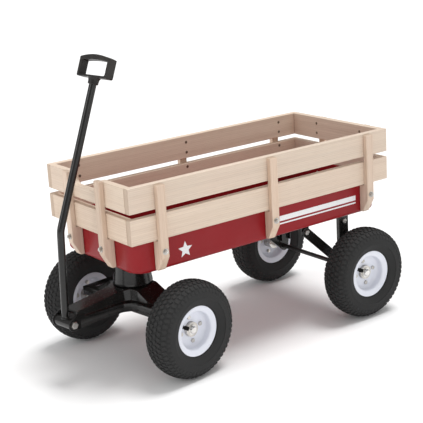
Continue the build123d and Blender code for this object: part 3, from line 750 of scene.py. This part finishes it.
# ---------------------------------------------------------------- sub-assemblies
@dataclass
class WoodenSides:
    """Eight boards and ten stakes, each cut from its own length of wood."""

    maker: Maker
    shy: float = 0.15
    gap: float = 0.4
    notch_half_w: float = 68.0
    notch_depth: float = 32.0
    notch_r: float = 22.0
    out: tuple[float, float] = (18.0, 33.0)
    bevel_z: float = 330.0
    tip: float = 12.0
    step_z: float = 370.5
    foot_gap: float = 0.05
    board_round: float = 1.3
    stake_round: float = 2.2
    round_steps: int = 3
    stake_early: Colour = (0.74, 0.555, 0.425)
    stake_late: Colour = (0.55, 0.385, 0.27)
    tone: float = 0.86
    tone_swing: float = 0.07
    tone_beat: float = 2.7
    warm_swing: float = 0.03
    warm_beat: float = 1.9

    def build(self) -> None:
        """Cut every board and stake from its own wood."""
        wooden = [name for name in sorted(self.maker.nodes) if self._is_wood(name)]
        for number, name in enumerate(wooden):
            is_board = "_board_" in name
            outline, through = self._board(name) if is_board else self._stake(name)
            timber = self._timber(name, float(number))
            cut = self.maker.piece(f"cut_{name}", plate(outline, through), timber, "chassis", [name])
            add_bevel(cut, self.board_round if is_board else self.stake_round, self.round_steps)

    def _board(self, name: str) -> tuple[list[Vector], Vector]:
        """Outline of a board on its inner face, a hair shy of the screw heads, and its thickness."""
        low, high = (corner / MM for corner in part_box(name))
        outward, sign, along = self._facing(name)
        inner = (low if sign > 0 else high)[outward] + sign * self.shy
        near, far = low[along] + self.gap, high[along] - self.gap
        corners = [(near, low.z), (far, low.z), (far, high.z)]
        if name == "upper_board_front":
            corners += self._notch(high.z)
        corners.append((near, high.z))
        through = Vector((0, 0, 0))
        through[outward] = sign * ((high - low)[outward] - self.shy)
        return [self._point(outward, inner, along, *corner) for corner in corners], through

    def _notch(self, top: float) -> list[Point]:
        """Rounded dip in the top edge of the front board."""
        reach = self.notch_half_w - self.notch_r
        low = top - self.notch_depth + self.notch_r
        near = arc((reach, low), self.notch_r, 0.0, -90.0, 7)
        far = arc((-reach, low), self.notch_r, -90.0, -180.0, 7)
        return [(self.notch_half_w, top), *near, *far, (-self.notch_half_w, top)]

    def _stake(self, name: str) -> tuple[list[Vector], Vector]:
        """Side outline of a stake, stepped in under the boards, and its width."""
        low, high = (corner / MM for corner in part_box(name))
        outward, sign, along = self._facing(name)
        inner = (low if sign > 0 else high)[outward]
        back, face = self.out
        foot = self.foot_gap
        side = [(back, high.z), (face, high.z), (face, self.bevel_z), (self.tip, low.z), (foot, low.z)]
        side += [(foot, self.step_z), (back, self.step_z)]
        points = [self._point(outward, inner + sign * reach, along, low[along], up) for reach, up in side]
        through = Vector((0, 0, 0))
        through[along] = (high - low)[along]
        return points, through

    @staticmethod
    def _facing(name: str) -> tuple[int, int, int]:
        """Axis that a board or stake faces along, which way, and the axis along the side."""
        if "front" in name or "rear" in name:
            return 1, -1 if "front" in name else 1, 0
        return 0, 1 if "left" in name else -1, 1

    @staticmethod
    def _point(outward: int, reach: float, along: int, place: float, up: float) -> Vector:
        """Point at a reach outward, a place along a side and a height."""
        point = Vector((0, 0, up))
        point[outward] = reach
        point[along] = place
        return point

    @staticmethod
    def _is_wood(name: str) -> bool:
        """Whether a frame node is a board or a stake."""
        is_board = "_board_" in name
        is_stake = name.startswith("stake_") and name != "stake_bolts"
        return is_board or is_stake

    def _timber(self, name: str, number: float) -> Timber:
        """Wood of one board or stake, a little lighter or darker than the next."""
        early, late = Timber.early, Timber.late
        if name.startswith("stake_"):
            grain = Grain.UPRIGHT
            early, late = self.stake_early, self.stake_late
        elif name.endswith(("front", "rear")):
            grain = Grain.ALONG_X
        else:
            grain = Grain.ALONG_Y
        tone = self.tone + self.tone_swing * sin(number * self.tone_beat)
        warm = 1.0 + self.warm_swing * cos(number * self.warm_beat)
        shift = (tone * warm, tone, tone / warm)
        early, late = (tuple(part * by for part, by in zip(shade, shift)) for shade in (early, late))
        return Timber(f"wood_{name}", "pine", grain, 1.0 + number, early, late)


@dataclass
class Bed:
    """Stamped steel bed with a rolled rim, a plain star and plain stripes."""

    maker: Maker
    rim_r: float = 2.8
    rim_gap: float = 0.1
    rim_rise: float = 0.6
    rim_steps: int = 12
    corner_r: float = 45.0
    star_r: float = 22.0
    star_waist: float = 0.45
    star_at: Point = (-262.0, 324.0)
    stripes: tuple = (("broad", 328.0, 342.0), ("thin", 319.0, 323.0))
    stripe_from: float = 46.0
    stripe_to: float = 322.0
    print_gap: float = 0.02
    print_t: float = 0.25
    middle_y: float = field(init=False)
    half_w: float = field(init=False)
    half_l: float = field(init=False)
    top_z: float = field(init=False)

    def build(self) -> None:
        """Dress the bed and add what is fixed to it."""
        low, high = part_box("tray")
        self.middle_y = (low.y + high.y) / 2 / MM
        self.half_w = high.x / MM
        self.half_l = (high.y - low.y) / 2 / MM
        self.top_z = high.z / MM
        self.maker.dress("tray", RED_ENAMEL)
        self._rolled_rim()
        for side, sign in (("left", 1), ("right", -1)):
            self._star(side, sign)
            self._stripes(side, sign)

    def _rolled_rim(self) -> None:
        """Wire edge rolled round the top of the bed."""
        mesh = bmesh.new()
        inset = self.rim_r + self.rim_gap
        straight = (self.half_w - self.corner_r, self.half_l - self.corner_r)
        bend = self.corner_r - inset
        side = Vector((0, straight[1] + bend, self.top_z)) * MM
        start = Matrix.Translation(side) @ Matrix.Rotation(pi / 2, 4, "Y")
        circle = {"segments": self.rim_steps, "radius": self.rim_r * MM, "matrix": start}
        ring = bmesh.ops.create_circle(mesh, **circle)["verts"]
        edges = list({edge for vert in ring for edge in vert.link_edges})
        corners = ((1, 1), (1, -1), (-1, -1), (-1, 1))
        runs = (straight[0], 2 * straight[1], 2 * straight[0], 2 * straight[1])
        heading = 0.0
        for (x_sign, y_sign), run in zip(corners, runs):
            edges = pull_ring(mesh, edges, self._ahead(heading) * run)
            centre = Vector((x_sign * straight[0], y_sign * straight[1], self.top_z)) * MM
            edges = bend_ring(mesh, edges, centre, (0, 0, 1), -pi / 2)
            heading -= pi / 2
        pull_ring(mesh, edges, self._ahead(heading) * straight[0])
        sunk = Vector((0, self.middle_y, self.rim_rise - self.rim_r))
        bmesh.ops.translate(mesh, verts=mesh.verts, vec=sunk * MM)
        tidy(mesh)
        self.maker.piece("rolled_rim", mesh, RED_ENAMEL, "chassis")

    @staticmethod
    def _ahead(heading: float) -> Vector:
        """Level direction at a heading from the X axis."""
        return Vector((cos(heading), sin(heading), 0))

    def _print(self, name: str, outline: Sequence[Point], sign: int) -> None:
        """Thin print on a side of the bed, from an outline of (along, up) points."""
        face = sign * (self.half_w + self.print_gap)
        corners = [(face, self.middle_y + along, up) for along, up in outline]
        mesh = plate(corners, (sign * self.print_t, 0, 0))
        self.maker.piece(name, mesh, WHITE_PRINT, "chassis")

    def _star(self, side: str, sign: int) -> None:
        """Plain five-pointed star towards the front."""
        points = []
        for step in range(10):
            reach = self.star_r * (self.star_waist if step % 2 else 1.0)
            turn = tau * step / 10
            points.append((self.star_at[0] + reach * sin(turn), self.star_at[1] + reach * cos(turn)))
        self._print(f"star_{side}", points, sign)

    def _stripes(self, side: str, sign: int) -> None:
        """Broad stripe with a thin one under it, towards the rear."""
        start, end = self.stripe_from, self.stripe_to
        for name, low, high in self.stripes:
            corners = ((start, low), (end, low), (end, high), (start, high))
            self._print(f"{name}_stripe_{side}", corners, sign)


PLAIN_NODES = (
    (BLACK_COAT, ("rear_leg_left", "rear_leg_right", "rear_brace_left", "rear_brace_right")),
    (BLACK_COAT, ("frame_clips", "axle_hangers", "pivot_sleeve")),
    (AXLE_BLACK, ("front_axle", "rear_axle")),
    (ZINC, ("stake_bolts", "kingpin", "kingpin_nut", "frame_bolts", "pivot_bolt")),
    (CHROME, ("front_axle_fittings", "rear_axle_fittings")),
    (DARK_PLATE, ("board_screws",)),
)


@dataclass
class Undercarriage:
    """Rear legs, braces, clips, axles, turntable and every fastener."""

    maker: Maker
    drum_r: float = 46.0
    flare: float = 1.5
    flare_h: float = 8.0
    foot_r: float = 53.0
    foot_slope: float = 1.0
    bore_r: float = 8.0
    round_r: float = 2.0
    wall: float = 3.0
    drum_steps: int = 96

    def build(self) -> None:
        """Dress the steelwork and turn the drum of the turntable."""
        for finish, names in PLAIN_NODES:
            for name in names:
                self.maker.dress(name, finish)
        self._drum()

    def _drum(self) -> None:
        """Drum between the bed and the yoke, flared towards its foot."""
        low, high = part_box("bolster")
        height = (high.z - low.z) / MM
        ceiling, inner, soft = height - self.wall, self.drum_r - self.wall, self.round_r
        outline = [(height, self.bore_r), (height, self.drum_r - soft), (height - soft, self.drum_r)]
        outline += [(height * 0.5, self.drum_r + self.flare), (self.flare_h, self.foot_r - self.foot_slope)]
        outline += arc((soft, self.foot_r - soft), soft, 90.0, 180.0, 4)
        outline += [(0.0, inner), (ceiling, inner), (ceiling, self.bore_r)]
        middle = Matrix.Translation((0, (low.y + high.y) / 2, low.z))
        place = middle @ Matrix.Rotation(-pi / 2, 4, "Y")
        drum = turned(outline, self.drum_steps)
        self.maker.piece("turntable_drum", drum, BLACK_COAT, "chassis", ["bolster"], place)


# Outlines of half the yoke as (across, forward), from the rear middle round to the tongue's end
YOKE_END = 214.8
YOKE_SKIRT = [(0, -53), (52, -53), (112, -53), (150, -53), (150, 53), (112, 53), (74, 53)]
YOKE_SKIRT += [(56, 58), (45, 74), (41, 96), (38, 150), (34, 205), (34, YOKE_END)]
YOKE_NECK = [(0, -42), (52, -42), (98, -42), (116, -38), (116, 38), (98, 42), (63, 42)]
YOKE_NECK += [(46, 47), (37, 62), (34, 86), (31.5, 150), (29, 205), (29, YOKE_END)]
YOKE_CROWN = [(0, -37), (50, -37), (98, -37), (113, -35), (113, 35), (98, 37), (59, 37)]
YOKE_CROWN += [(41, 43), (32, 60), (29, 84), (27, 150), (25, 205), (25, YOKE_END)]


@dataclass
class Yoke:
    """Pressed steel yoke: two sloping arms over the axle and a tongue to the handle."""

    maker: Maker
    place: Matrix
    skirt_z: float = 155.0
    dip: float = 6.0
    dip_from: float = 150.0
    ledge_z: float = 178.0
    neck_rise: float = 1.5
    crown_rise: float = 2.5
    top_z: float = 209.0
    nose_z: float = 192.0
    wall: float = 2.5
    arm_flat: float = 52.0
    arm_end: float = 112.0
    saddle: float = 41.0
    stop_f: float = YOKE_END
    pivot: Point = (226.0, 165.0)
    cheek_out: float = 34.0
    cheek_stand: float = 0.05
    cheek_r: float = 16.0
    cheek_foot: Point = (188.0, 152.0)
    cheek_heel: float = 14.0
    cheek_rise: float = 6.0
    nose_drop: float = 2.0
    tie_from: float = 203.0
    tie_short: float = 2.0
    tie_gap: float = 0.5

    def top(self, across: float, forward: float) -> float:
        """Height of the top of the pressing at a place."""
        slope = (abs(across) - self.arm_flat) / (self.arm_end - self.arm_flat)
        fall = (forward - self.saddle) / (self.stop_f - self.saddle)
        arm = self.top_z - max(0.0, min(1.0, slope)) * (self.top_z - self.ledge_z)
        tongue = self.top_z - max(0.0, min(1.0, fall)) * (self.top_z - self.nose_z)
        return min(arm, tongue)

    def build(self) -> None:
        """Make the pressing with its cheeks and tie plate."""
        mesh = bmesh.new()
        levels = [
            [(across, forward, self._lip(forward)) for across, forward in YOKE_SKIRT],
            [(across, forward, self.ledge_z) for across, forward in YOKE_SKIRT],
            [(across, forward, self.ledge_z + self.neck_rise) for across, forward in YOKE_NECK],
            [(across, forward, self._crown(across, forward)) for across, forward in YOKE_CROWN],
        ]
        rows = [outline_edges(mesh, level, closed=False) for level in levels]
        for lower, upper in zip(rows, rows[1:]):
            bmesh.ops.bridge_loops(mesh, edges=lower + upper)
        self._roof(mesh, rows[-1])
        bmesh.ops.mirror(mesh, geom=whole(mesh), axis="X", merge_dist=MERGE_WITHIN)
        tidy(mesh)
        steel = (BLACK_COAT, "steering")
        shell = self.maker.piece("yoke_pressing", self._turn(mesh), *steel, ["yoke"], self.place, 70.0)
        add_bevel(shell, width=5.0, segments=4, above_deg=14.0)
        add_wall(shell, self.wall)
        ends = self.maker.piece("yoke_cheeks", self._turn(self._cheeks()), *steel, (), self.place)
        add_bevel(ends, width=0.8, segments=2)

    def _lip(self, forward: float) -> float:
        """Height of the skirt's lower edge, which dips to the pivot."""
        share = (forward - self.dip_from) / (self.stop_f - self.dip_from)
        return self.skirt_z - self.dip * max(0.0, share)

    def _crown(self, across: float, forward: float) -> float:
        """Height of the crown's edge, never under the top of the neck."""
        return max(self.top(across, forward), self.ledge_z + self.crown_rise)

    @staticmethod
    def _turn(mesh: BMesh) -> BMesh:
        """Turn a mesh drawn as (across, forward, up) into the steering frame."""
        bmesh.ops.transform(mesh, matrix=Matrix.Diagonal((1, -1, 1, 1)), verts=mesh.verts)
        bmesh.ops.recalc_face_normals(mesh, faces=mesh.faces)
        return mesh

    def _roof(self, mesh: BMesh, edges: list) -> None:
        """Close the top of one half of the pressing, in panels that bend along the tongue."""
        rim = []
        for edge in edges:
            rim += [vert for vert in edge.verts if vert not in rim]
        rim.sort(key=lambda vert: vert.index)
        spine_at = [forward for _, forward in (YOKE_CROWN[6], *YOKE_CROWN[8:])]
        spine = [mesh.verts.new(Vector((0, forward, self.top(0, forward))) * MM) for forward in spine_at]
        mesh.faces.new((rim[0], rim[1], rim[6], spine[0]))
        mesh.faces.new((rim[1], rim[2], rim[5], rim[6]))
        mesh.faces.new((rim[2], rim[3], rim[4], rim[5]))
        mesh.faces.new((spine[0], rim[6], rim[7], rim[8], spine[1]))
        for step in range(1, len(spine) - 1):
            mesh.faces.new((spine[step], rim[step + 7], rim[step + 8], spine[step + 1]))

    def _cheeks(self) -> BMesh:
        """Two rounded side plates about the pivot and the tie plate under it."""
        forward, up = self.pivot
        back, foot_z = self.cheek_foot
        low = up - self.cheek_r
        side = [(back, foot_z), (forward - self.cheek_heel, low)]
        side += arc(self.pivot, self.cheek_r, -90.0, 54.0, 12)
        side += [(self.stop_f, self.nose_z - self.nose_drop), (back, self.ledge_z + self.cheek_rise)]
        plates = []
        for sign in (1, -1):
            outer = sign * (self.cheek_out + self.cheek_stand)
            corners = [(outer, along, height) for along, height in side]
            plates.append(plate(corners, (-sign * self.wall, 0, 0)))
        half = self.cheek_out - self.tie_gap
        rear, front = self.tie_from, forward - self.tie_short
        tie = [(-half, rear, low), (half, rear, low), (half, front, low), (-half, front, low)]
        return join(*plates, plate(tie, (0, 0, self.wall)))


# Weld as (along, out) from the face of the sleeve and of the tube; collar as (along, out) in full
WELD = ((-2.5, -1.0), (-2.5, 2.2), (-0.5, 2.4), (1.7, 1.0), (2.9, -1.0))
COLLAR = ((-16.0, 9.7), (-16.0, 12.2), (-15.0, 13.2), (-7.0, 13.5), (-2.5, 14.6), (1.5, 17.5), (3.0, 9.7))


@dataclass
class Handle:
    """Bent steel tube with its sleeve at the foot and a moulded loop grip on top."""

    maker: Maker
    place: Matrix
    tube_r: float = 9.5
    sleeve_r: float = 13.0
    back: float = 11.3
    sunk: float = 2.0
    rise: float = 236.0
    upper: float = 384.0
    upper_lean: float = radians(22.1)
    bend_r: float = 60.0
    grip_half_w: float = 57.0
    grip_wall: float = 7.0
    grip_depth: float = 24.0
    grip_round: float = 2.4
    corner_h: float = 49.0
    arch_h: float = 57.0
    hole_low: float = 5.5
    hole_corner: float = 41.0
    hole_arch: float = 44.0
    loop_r: float = 4.0

    def build(self) -> None:
        """Make the tube, its weld and its grip."""
        lean = atan2(self.back, self.rise)
        turn = self.upper_lean - lean
        cut = self.bend_r * tan(turn / 2)
        tilt = self.place @ Matrix.Rotation(-lean, 4, "X")
        tube = self._tube(hypot(self.back, self.rise) - cut, turn, self.upper - cut)
        self.maker.piece("pull_tube", tube, BLACK_COAT, "handle", ["handle_tube"], tilt)
        self.maker.piece("tube_weld", self._weld(), BLACK_COAT, "handle", (), tilt)
        reach = self.back + self.upper * sin(self.upper_lean)
        height = self.rise + self.upper * cos(self.upper_lean)
        end = Matrix.Translation(Vector((0, reach, height)) * MM)
        top = self.place @ (end @ Matrix.Rotation(-self.upper_lean, 4, "X"))
        grip = self.maker.piece("loop_grip", self._grip(), BLACK_MOULDED, "handle", ["grip"], top)
        add_bevel(grip, self.grip_round, 3)
        collar = stood_up(turned(COLLAR, ROUND_STEPS))
        self.maker.piece("grip_socket", collar, BLACK_MOULDED, "handle", (), top)

    def _tube(self, lower_l: float, turn: float, upper_l: float) -> BMesh:
        """Tube up the Z axis, bent back towards +Y part way."""
        mesh = bmesh.new()
        foot = self.sleeve_r - self.sunk
        start = Matrix.Translation((0, 0, foot * MM))
        circle = {"segments": 40, "radius": self.tube_r * MM, "matrix": start}
        bmesh.ops.create_circle(mesh, cap_ends=False, **circle)
        edges = pull_ring(mesh, list(mesh.edges), Vector((0, 0, lower_l - foot)))
        centre = Vector((0, self.bend_r, lower_l)) * MM
        edges = bend_ring(mesh, edges, centre, (1, 0, 0), -turn)
        pull_ring(mesh, edges, Vector((0, sin(turn), cos(turn))) * upper_l)
        bmesh.ops.holes_fill(mesh, edges=mesh.edges)
        tidy(mesh)
        return mesh

    def _weld(self) -> BMesh:
        """Fillet weld round the foot of the tube, on its sleeve."""
        section = [(self.sleeve_r + along, self.tube_r + out) for along, out in WELD]
        return stood_up(turned(section, ROUND_STEPS))

    def _loop(self, half_w: float, low: float, corner: float, top: float) -> list[Point]:
        """Outline of the grip or of its hole: flat foot, straight sides and an arched top."""
        rise = top - corner
        radius = (half_w**2 + rise**2) / (2 * rise)
        reach = degrees(atan2(half_w, radius - rise))
        foot = arc((half_w - self.loop_r, low + self.loop_r), self.loop_r, -90.0, 0.0, 3)
        crown = arc((0.0, top - radius), radius, 90.0 - reach, 90.0 + reach, 12)
        other = [(-across, up) for across, up in reversed(foot)]
        return foot + crown + other

    def _grip(self) -> BMesh:
        """Moulded loop: outer outline less the hole, through the depth of the grip."""
        mesh = bmesh.new()
        inner_w = self.grip_half_w - self.grip_wall
        outer = self._loop(self.grip_half_w, 0.0, self.corner_h, self.arch_h)
        inner = self._loop(inner_w, self.hole_low, self.hole_corner, self.hole_arch)
        front = -self.grip_depth / 2
        edges = []
        for row in (outer, inner):
            edges += outline_edges(mesh, [(x, front, z) for x, z in row], closed=True)
        faces = bmesh.ops.bridge_loops(mesh, edges=edges)["faces"]
        pulled = bmesh.ops.extrude_face_region(mesh, geom=faces)["geom"]
        verts = of_kind(pulled, BMVert)
        bmesh.ops.translate(mesh, verts=verts, vec=(0, self.grip_depth * MM, 0))
        tidy(mesh)
        return mesh


@dataclass(frozen=True)
class LugRow:
    """One ring of tread blocks: its place on the section and the size of its blocks."""

    along: float
    out: float
    lean_deg: float
    size: Triple
    skew_deg: float
    phase: float


# Sections as (along the axle, out from it), each from the middle or the bead out to one side
TYRE_OUTSIDE = [(17.0, 52.0), (24.5, 51.6), (26.4, 58.0), (27.6, 65.0), (28.6, 67.8), (30.8, 68.2)]
TYRE_OUTSIDE += [(32.2, 70.4), (34.0, 73.4), (37.4, 79.5), (39.6, 85.0), (40.2, 86.4), (41.8, 86.9)]
TYRE_OUTSIDE += [(42.2, 88.6), (41.5, 90.2), (41.6, 95.0), (41.0, 100.0), (39.6, 105.0), (37.2, 110.5)]
TYRE_OUTSIDE += [(33.4, 115.6), (28.0, 119.4), (20.0, 122.2), (10.0, 123.7)]
TYRE_INSIDE = [(10.0, 117.4), (20.0, 115.2), (29.5, 107.0), (34.5, 92.0), (30.0, 76.0), (20.0, 63.0)]
TYRE_OUT_R, TYRE_IN_R = 124.0, 118.0
RIM_HALF = [(1.9, 19.1), (1.9, 20.0), (1.9, 30.0), (2.0, 40.0), (3.2, 42.6), (6.4, 47.2), (9.5, 48.9)]
RIM_HALF += [(14.0, 49.2), (22.0, 49.3), (24.6, 50.6), (26.2, 54.0), (28.4, 62.0), (29.6, 64.2)]
RIM_HALF += [(29.0, 65.9), (27.3, 65.4), (26.6, 62.0), (25.2, 54.6), (23.2, 51.4), (14.0, 51.0)]
VALVE_STEM = [(-2.0, 0.0), (-2.0, 6.4), (1.0, 6.6), (3.0, 5.4), (17.0, 4.8), (18.0, 4.0), (19.5, 4.0)]
VALVE_CAP = [(19.8, 5.5), (30.5, 5.2), (32.0, 4.2), (32.3, 0.0)]


def mirrored(half: Sequence[Point]) -> list[Point]:
    """Section of the other side, in the order that carries on round from the first."""
    return [(-along, out) for along, out in reversed(half)]


@dataclass
class Wheel:
    """Pneumatic wheel: treaded tyre, split rim, valve stem and dressed hardware."""

    maker: Maker
    name: str
    place: Matrix
    lugs: int = 54
    lug_round: float = 0.9
    steps: int = 64
    valve_turn: float = radians(62.0)
    valve_lean: float = radians(42.0)
    valve_foot: Point = (6.0, 54.5)

    def build(self) -> None:
        """Make the wheel's pieces and dress its hub and bolts."""
        name, body = self.name, f"{self.name}_wheel"
        tyre = join(self._casing(), *self._tread())
        ridden = (body, [f"{name}_tyre"], self.place, 42.0)
        self.maker.piece(f"{name}_treaded_tyre", tyre, TYRE_RUBBER, *ridden)
        halves = [f"{name}_rim_outer", f"{name}_rim_inner"]
        section = RIM_HALF + mirrored(RIM_HALF)
        rim = turned(section, self.steps)
        rim = self.maker.piece(f"{name}_rim", rim, WHITE_COAT, body, halves, self.place, 60.0)
        add_subdivision(rim, 2)
        self.maker.piece(f"{name}_valve", self._valve(), VALVE_RUBBER, body, (), self.place)
        self.maker.dress(f"{name}_hub", ZINC)
        self.maker.dress(f"{name}_rim_bolts", ZINC)

    def _casing(self) -> BMesh:
        """Tyre casing from bead to bead, with two raised rings on each sidewall."""
        outer = TYRE_OUTSIDE + [(0.0, TYRE_OUT_R)] + mirrored(TYRE_OUTSIDE)
        inner = mirrored(TYRE_INSIDE) + [(0.0, TYRE_IN_R)] + TYRE_INSIDE
        return turned(outer + inner, self.steps)

    def _rows(self) -> list[LugRow]:
        """Rings of tread blocks from one shoulder to the other."""
        rows = []
        for sign in (1, -1):
            late = 0.5 if sign < 0 else 0.0
            rows.append(LugRow(sign * 6.4, 124.2, sign * 3.0, (9.6, 8.6, 5.4), sign * 24.0, late))
            rows.append(LugRow(sign * 19.0, 122.0, sign * 14.0, (10.4, 8.8, 5.6), sign * -18.0, late + 0.5))
            rows.append(LugRow(sign * 31.0, 116.3, sign * 40.0, (11.6, 9.0, 5.4), sign * 8.0, late))
            rows.append(LugRow(sign * 38.2, 106.6, sign * 68.0, (9.0, 8.2, 3.6), 0.0, late + 0.5))
        return rows

    def _tread(self) -> list[BMesh]:
        """Every ring of tread blocks."""
        rings = []
        for row in self._rows():
            out = Matrix.Translation((row.along, 0, row.out))
            lean = Matrix.Rotation(radians(row.lean_deg), 4, "Y")
            skew = Matrix.Rotation(radians(row.skew_deg), 4, "Z")
            ring = block(row.size, out @ lean @ skew, self.lug_round)
            start = Matrix.Rotation(tau * row.phase / self.lugs, 3, "X")
            bmesh.ops.rotate(ring, verts=ring.verts, cent=(0, 0, 0), matrix=start)
            turn = {"angle": tau * (1 - 1 / self.lugs), "steps": self.lugs - 1, **ABOUT_X}
            bmesh.ops.spin(ring, geom=whole(ring), use_duplicate=True, **turn)
            rings.append(ring)
        return rings

    def _valve(self) -> BMesh:
        """Rubber valve stem with its cap, leaning from the rim out and towards the hub."""
        mesh = turned(VALVE_STEM + VALVE_CAP, 24, closed=False)
        out = Vector((0, -sin(self.valve_turn), cos(self.valve_turn)))
        along = Vector((cos(self.valve_lean), 0, 0)) - out * sin(self.valve_lean)
        foot = Vector((self.valve_foot[0], 0, 0)) + out * self.valve_foot[1]
        facing = along.to_track_quat("X", "Z").to_matrix().to_4x4()
        place = in_metres(Matrix.Translation(foot) @ facing)
        bmesh.ops.transform(mesh, matrix=place, verts=mesh.verts)
        return mesh


@dataclass(frozen=True)
class Softbox:
    """Rectangular soft light: where it stands, its two sizes in metres and its power."""

    name: str
    spot: Triple
    size: Point
    power: float


SOFTBOXES = (
    Softbox("near_side", (3.6, -0.7, 1.7), (2.4, 2.0), 16.0),
    Softbox("front", (-0.8, -3.8, 1.9), (2.2, 2.0), 31.0),
)


@dataclass
class Studio:
    """Pale floor, soft lights and the camera."""

    azimuth: float = radians(54.105)
    elevation: float = radians(16.002)
    roll: float = radians(-3.374)
    distance: float = 3.11382
    aim_across: float = -0.03517
    aim_up: float = 0.33712
    lens: float = 96.451
    shift: Point = (-0.0016, -0.0039)
    aim_z: float = 0.3
    sun_from: Triple = (0.1, 0.85, 3.0)
    sun_spread: float = radians(26.0)
    sun_power: float = 2.2
    sky_plain: float = 0.62
    sky_mirrored: float = 0.38
    floor_half: float = 60.0
    floor_pale: tuple[Colour, Colour] = ((0.90, 0.90, 0.90), (0.92, 0.92, 0.92))
    middle: Vector = field(init=False)

    def build(self) -> None:
        """Set up everything that isn't the wagon."""
        low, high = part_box("tray")
        self.middle = Vector((0, (low.y + high.y) / 2, 0))
        self._floor()
        self._sun()
        for box in SOFTBOXES:
            self._light(box)
        self._sky()
        self._camera()

    def _floor(self) -> None:
        """Plain pale floor that runs out of sight."""
        mesh = bmesh.new()
        bmesh.ops.create_grid(mesh, x_segments=1, y_segments=1, size=self.floor_half)
        data = bpy.data.meshes.new("floor")
        mesh.to_mesh(data)
        mesh.free()
        material, tree, shader = start_material("pale_floor")
        place = tree.add("ShaderNodeTexCoord").outputs["Object"]
        colour = tree.mix(tree.noise(place, 2.0), *self.floor_pale)
        tree.feed_all(shader, {"Base Color": colour, "Roughness": 0.9, "Specular IOR Level": 0.1})
        data.materials.append(material)
        floor = put_in("floor", data)

    def _sun(self) -> None:
        """Add an even light from far overhead, soft-edged."""
        lamp = bpy.data.lights.new("overhead", "SUN")
        lamp.angle = self.sun_spread
        lamp.energy = self.sun_power
        facing = Vector(self.sun_from).to_track_quat("Z", "Y")
        put_in("overhead", lamp).matrix_world = facing.to_matrix().to_4x4()

    def _light(self, box: Softbox) -> None:
        """Add a rectangular soft light that looks at the wagon."""
        lamp = bpy.data.lights.new(box.name, "AREA")
        lamp.shape = "RECTANGLE"
        lamp.size, lamp.size_y = box.size
        lamp.energy = box.power
        aim = self.middle + Vector((0, 0, self.aim_z)) - Vector(box.spot)
        facing = aim.to_track_quat("-Z", "Y").to_matrix().to_4x4()
        put_in(box.name, lamp).matrix_world = Matrix.Translation(box.spot) @ facing

    def _sky(self) -> None:
        """White surroundings, seen a little darker in reflections."""
        world = bpy.data.worlds.new("white_room")
        world.use_nodes = True
        ground = world.node_tree.nodes["Background"]
        tree = Tree(world.node_tree)
        path = tree.add("ShaderNodeLightPath")
        mirrored = path.outputs["Is Glossy Ray"]
        around = tree.span(mirrored, 0.0, 1.0, self.sky_plain, self.sky_mirrored)
        tree.feed(ground.inputs["Strength"], tree.maths("MAXIMUM", path.outputs["Is Camera Ray"], around))
        ground.inputs["Color"].default_value = (1.0, 1.0, 1.0, 1.0)
        bpy.context.scene.world = world

    def _camera(self) -> None:
        """Long-lens camera at the wagon's left front."""
        across = Vector((cos(self.azimuth), sin(self.azimuth), 0))
        level = cos(self.elevation)
        back = Vector((sin(self.azimuth) * level, -cos(self.azimuth) * level, sin(self.elevation)))
        up = back.cross(across)
        right = across * cos(self.roll) + up * sin(self.roll)
        top = up * cos(self.roll) - across * sin(self.roll)
        spot = self.middle + back * self.distance + across * self.aim_across + Vector((0, 0, self.aim_up))
        lens = bpy.data.cameras.new("camera")
        lens.lens = self.lens
        lens.shift_x, lens.shift_y = self.shift
        camera = put_in("camera", lens)
        facing = Matrix((right, top, back)).transposed().to_4x4()
        camera.matrix_world = Matrix.Translation(spot) @ facing
        bpy.context.scene.camera = camera
        bpy.context.scene.view_settings.view_transform = "Standard"


def frame_of(origin: Sequence[float], across: Vector) -> Matrix:
    """Upright frame with its X axis along a level direction.

    Args:
        origin: Where the frame stands, in metres.
        across: Direction of its X axis.

    Returns:
        The frame as a matrix.
    """
    up = Vector((0, 0, 1))
    turned_frame = Matrix((across, up.cross(across), up)).transposed().to_4x4()
    return Matrix.Translation(origin) @ turned_frame


def main() -> None:
    """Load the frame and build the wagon's looks round it."""
    logging.basicConfig(level=logging.INFO, format="%(name)s %(message)s")
    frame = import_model()
    joints = {joint["name"]: joint for joint in frame["joints"]}
    maker = Maker(frame["nodes"], Effects())
    Studio().build()
    WoodenSides(maker).build()
    Bed(maker).build()
    Undercarriage(maker).build()
    tip = joints["handle_tip"]
    turn = joints["steering_turn"]
    across = Vector(tip["axis"])
    Yoke(maker, frame_of((turn["pos_m"][0], turn["pos_m"][1], 0.0), across)).build()
    Handle(maker, frame_of(tip["pos_m"], across)).build()
    for name in ("front_left", "front_right", "rear_left", "rear_right"):
        spin = joints[f"{name}_spin"]
        outward = Vector(spin["axis"]) * (1 if name.endswith("left") else -1)
        Wheel(maker, name, frame_of(spin["pos_m"], outward)).build()


if __name__ == "__main__":
    main()
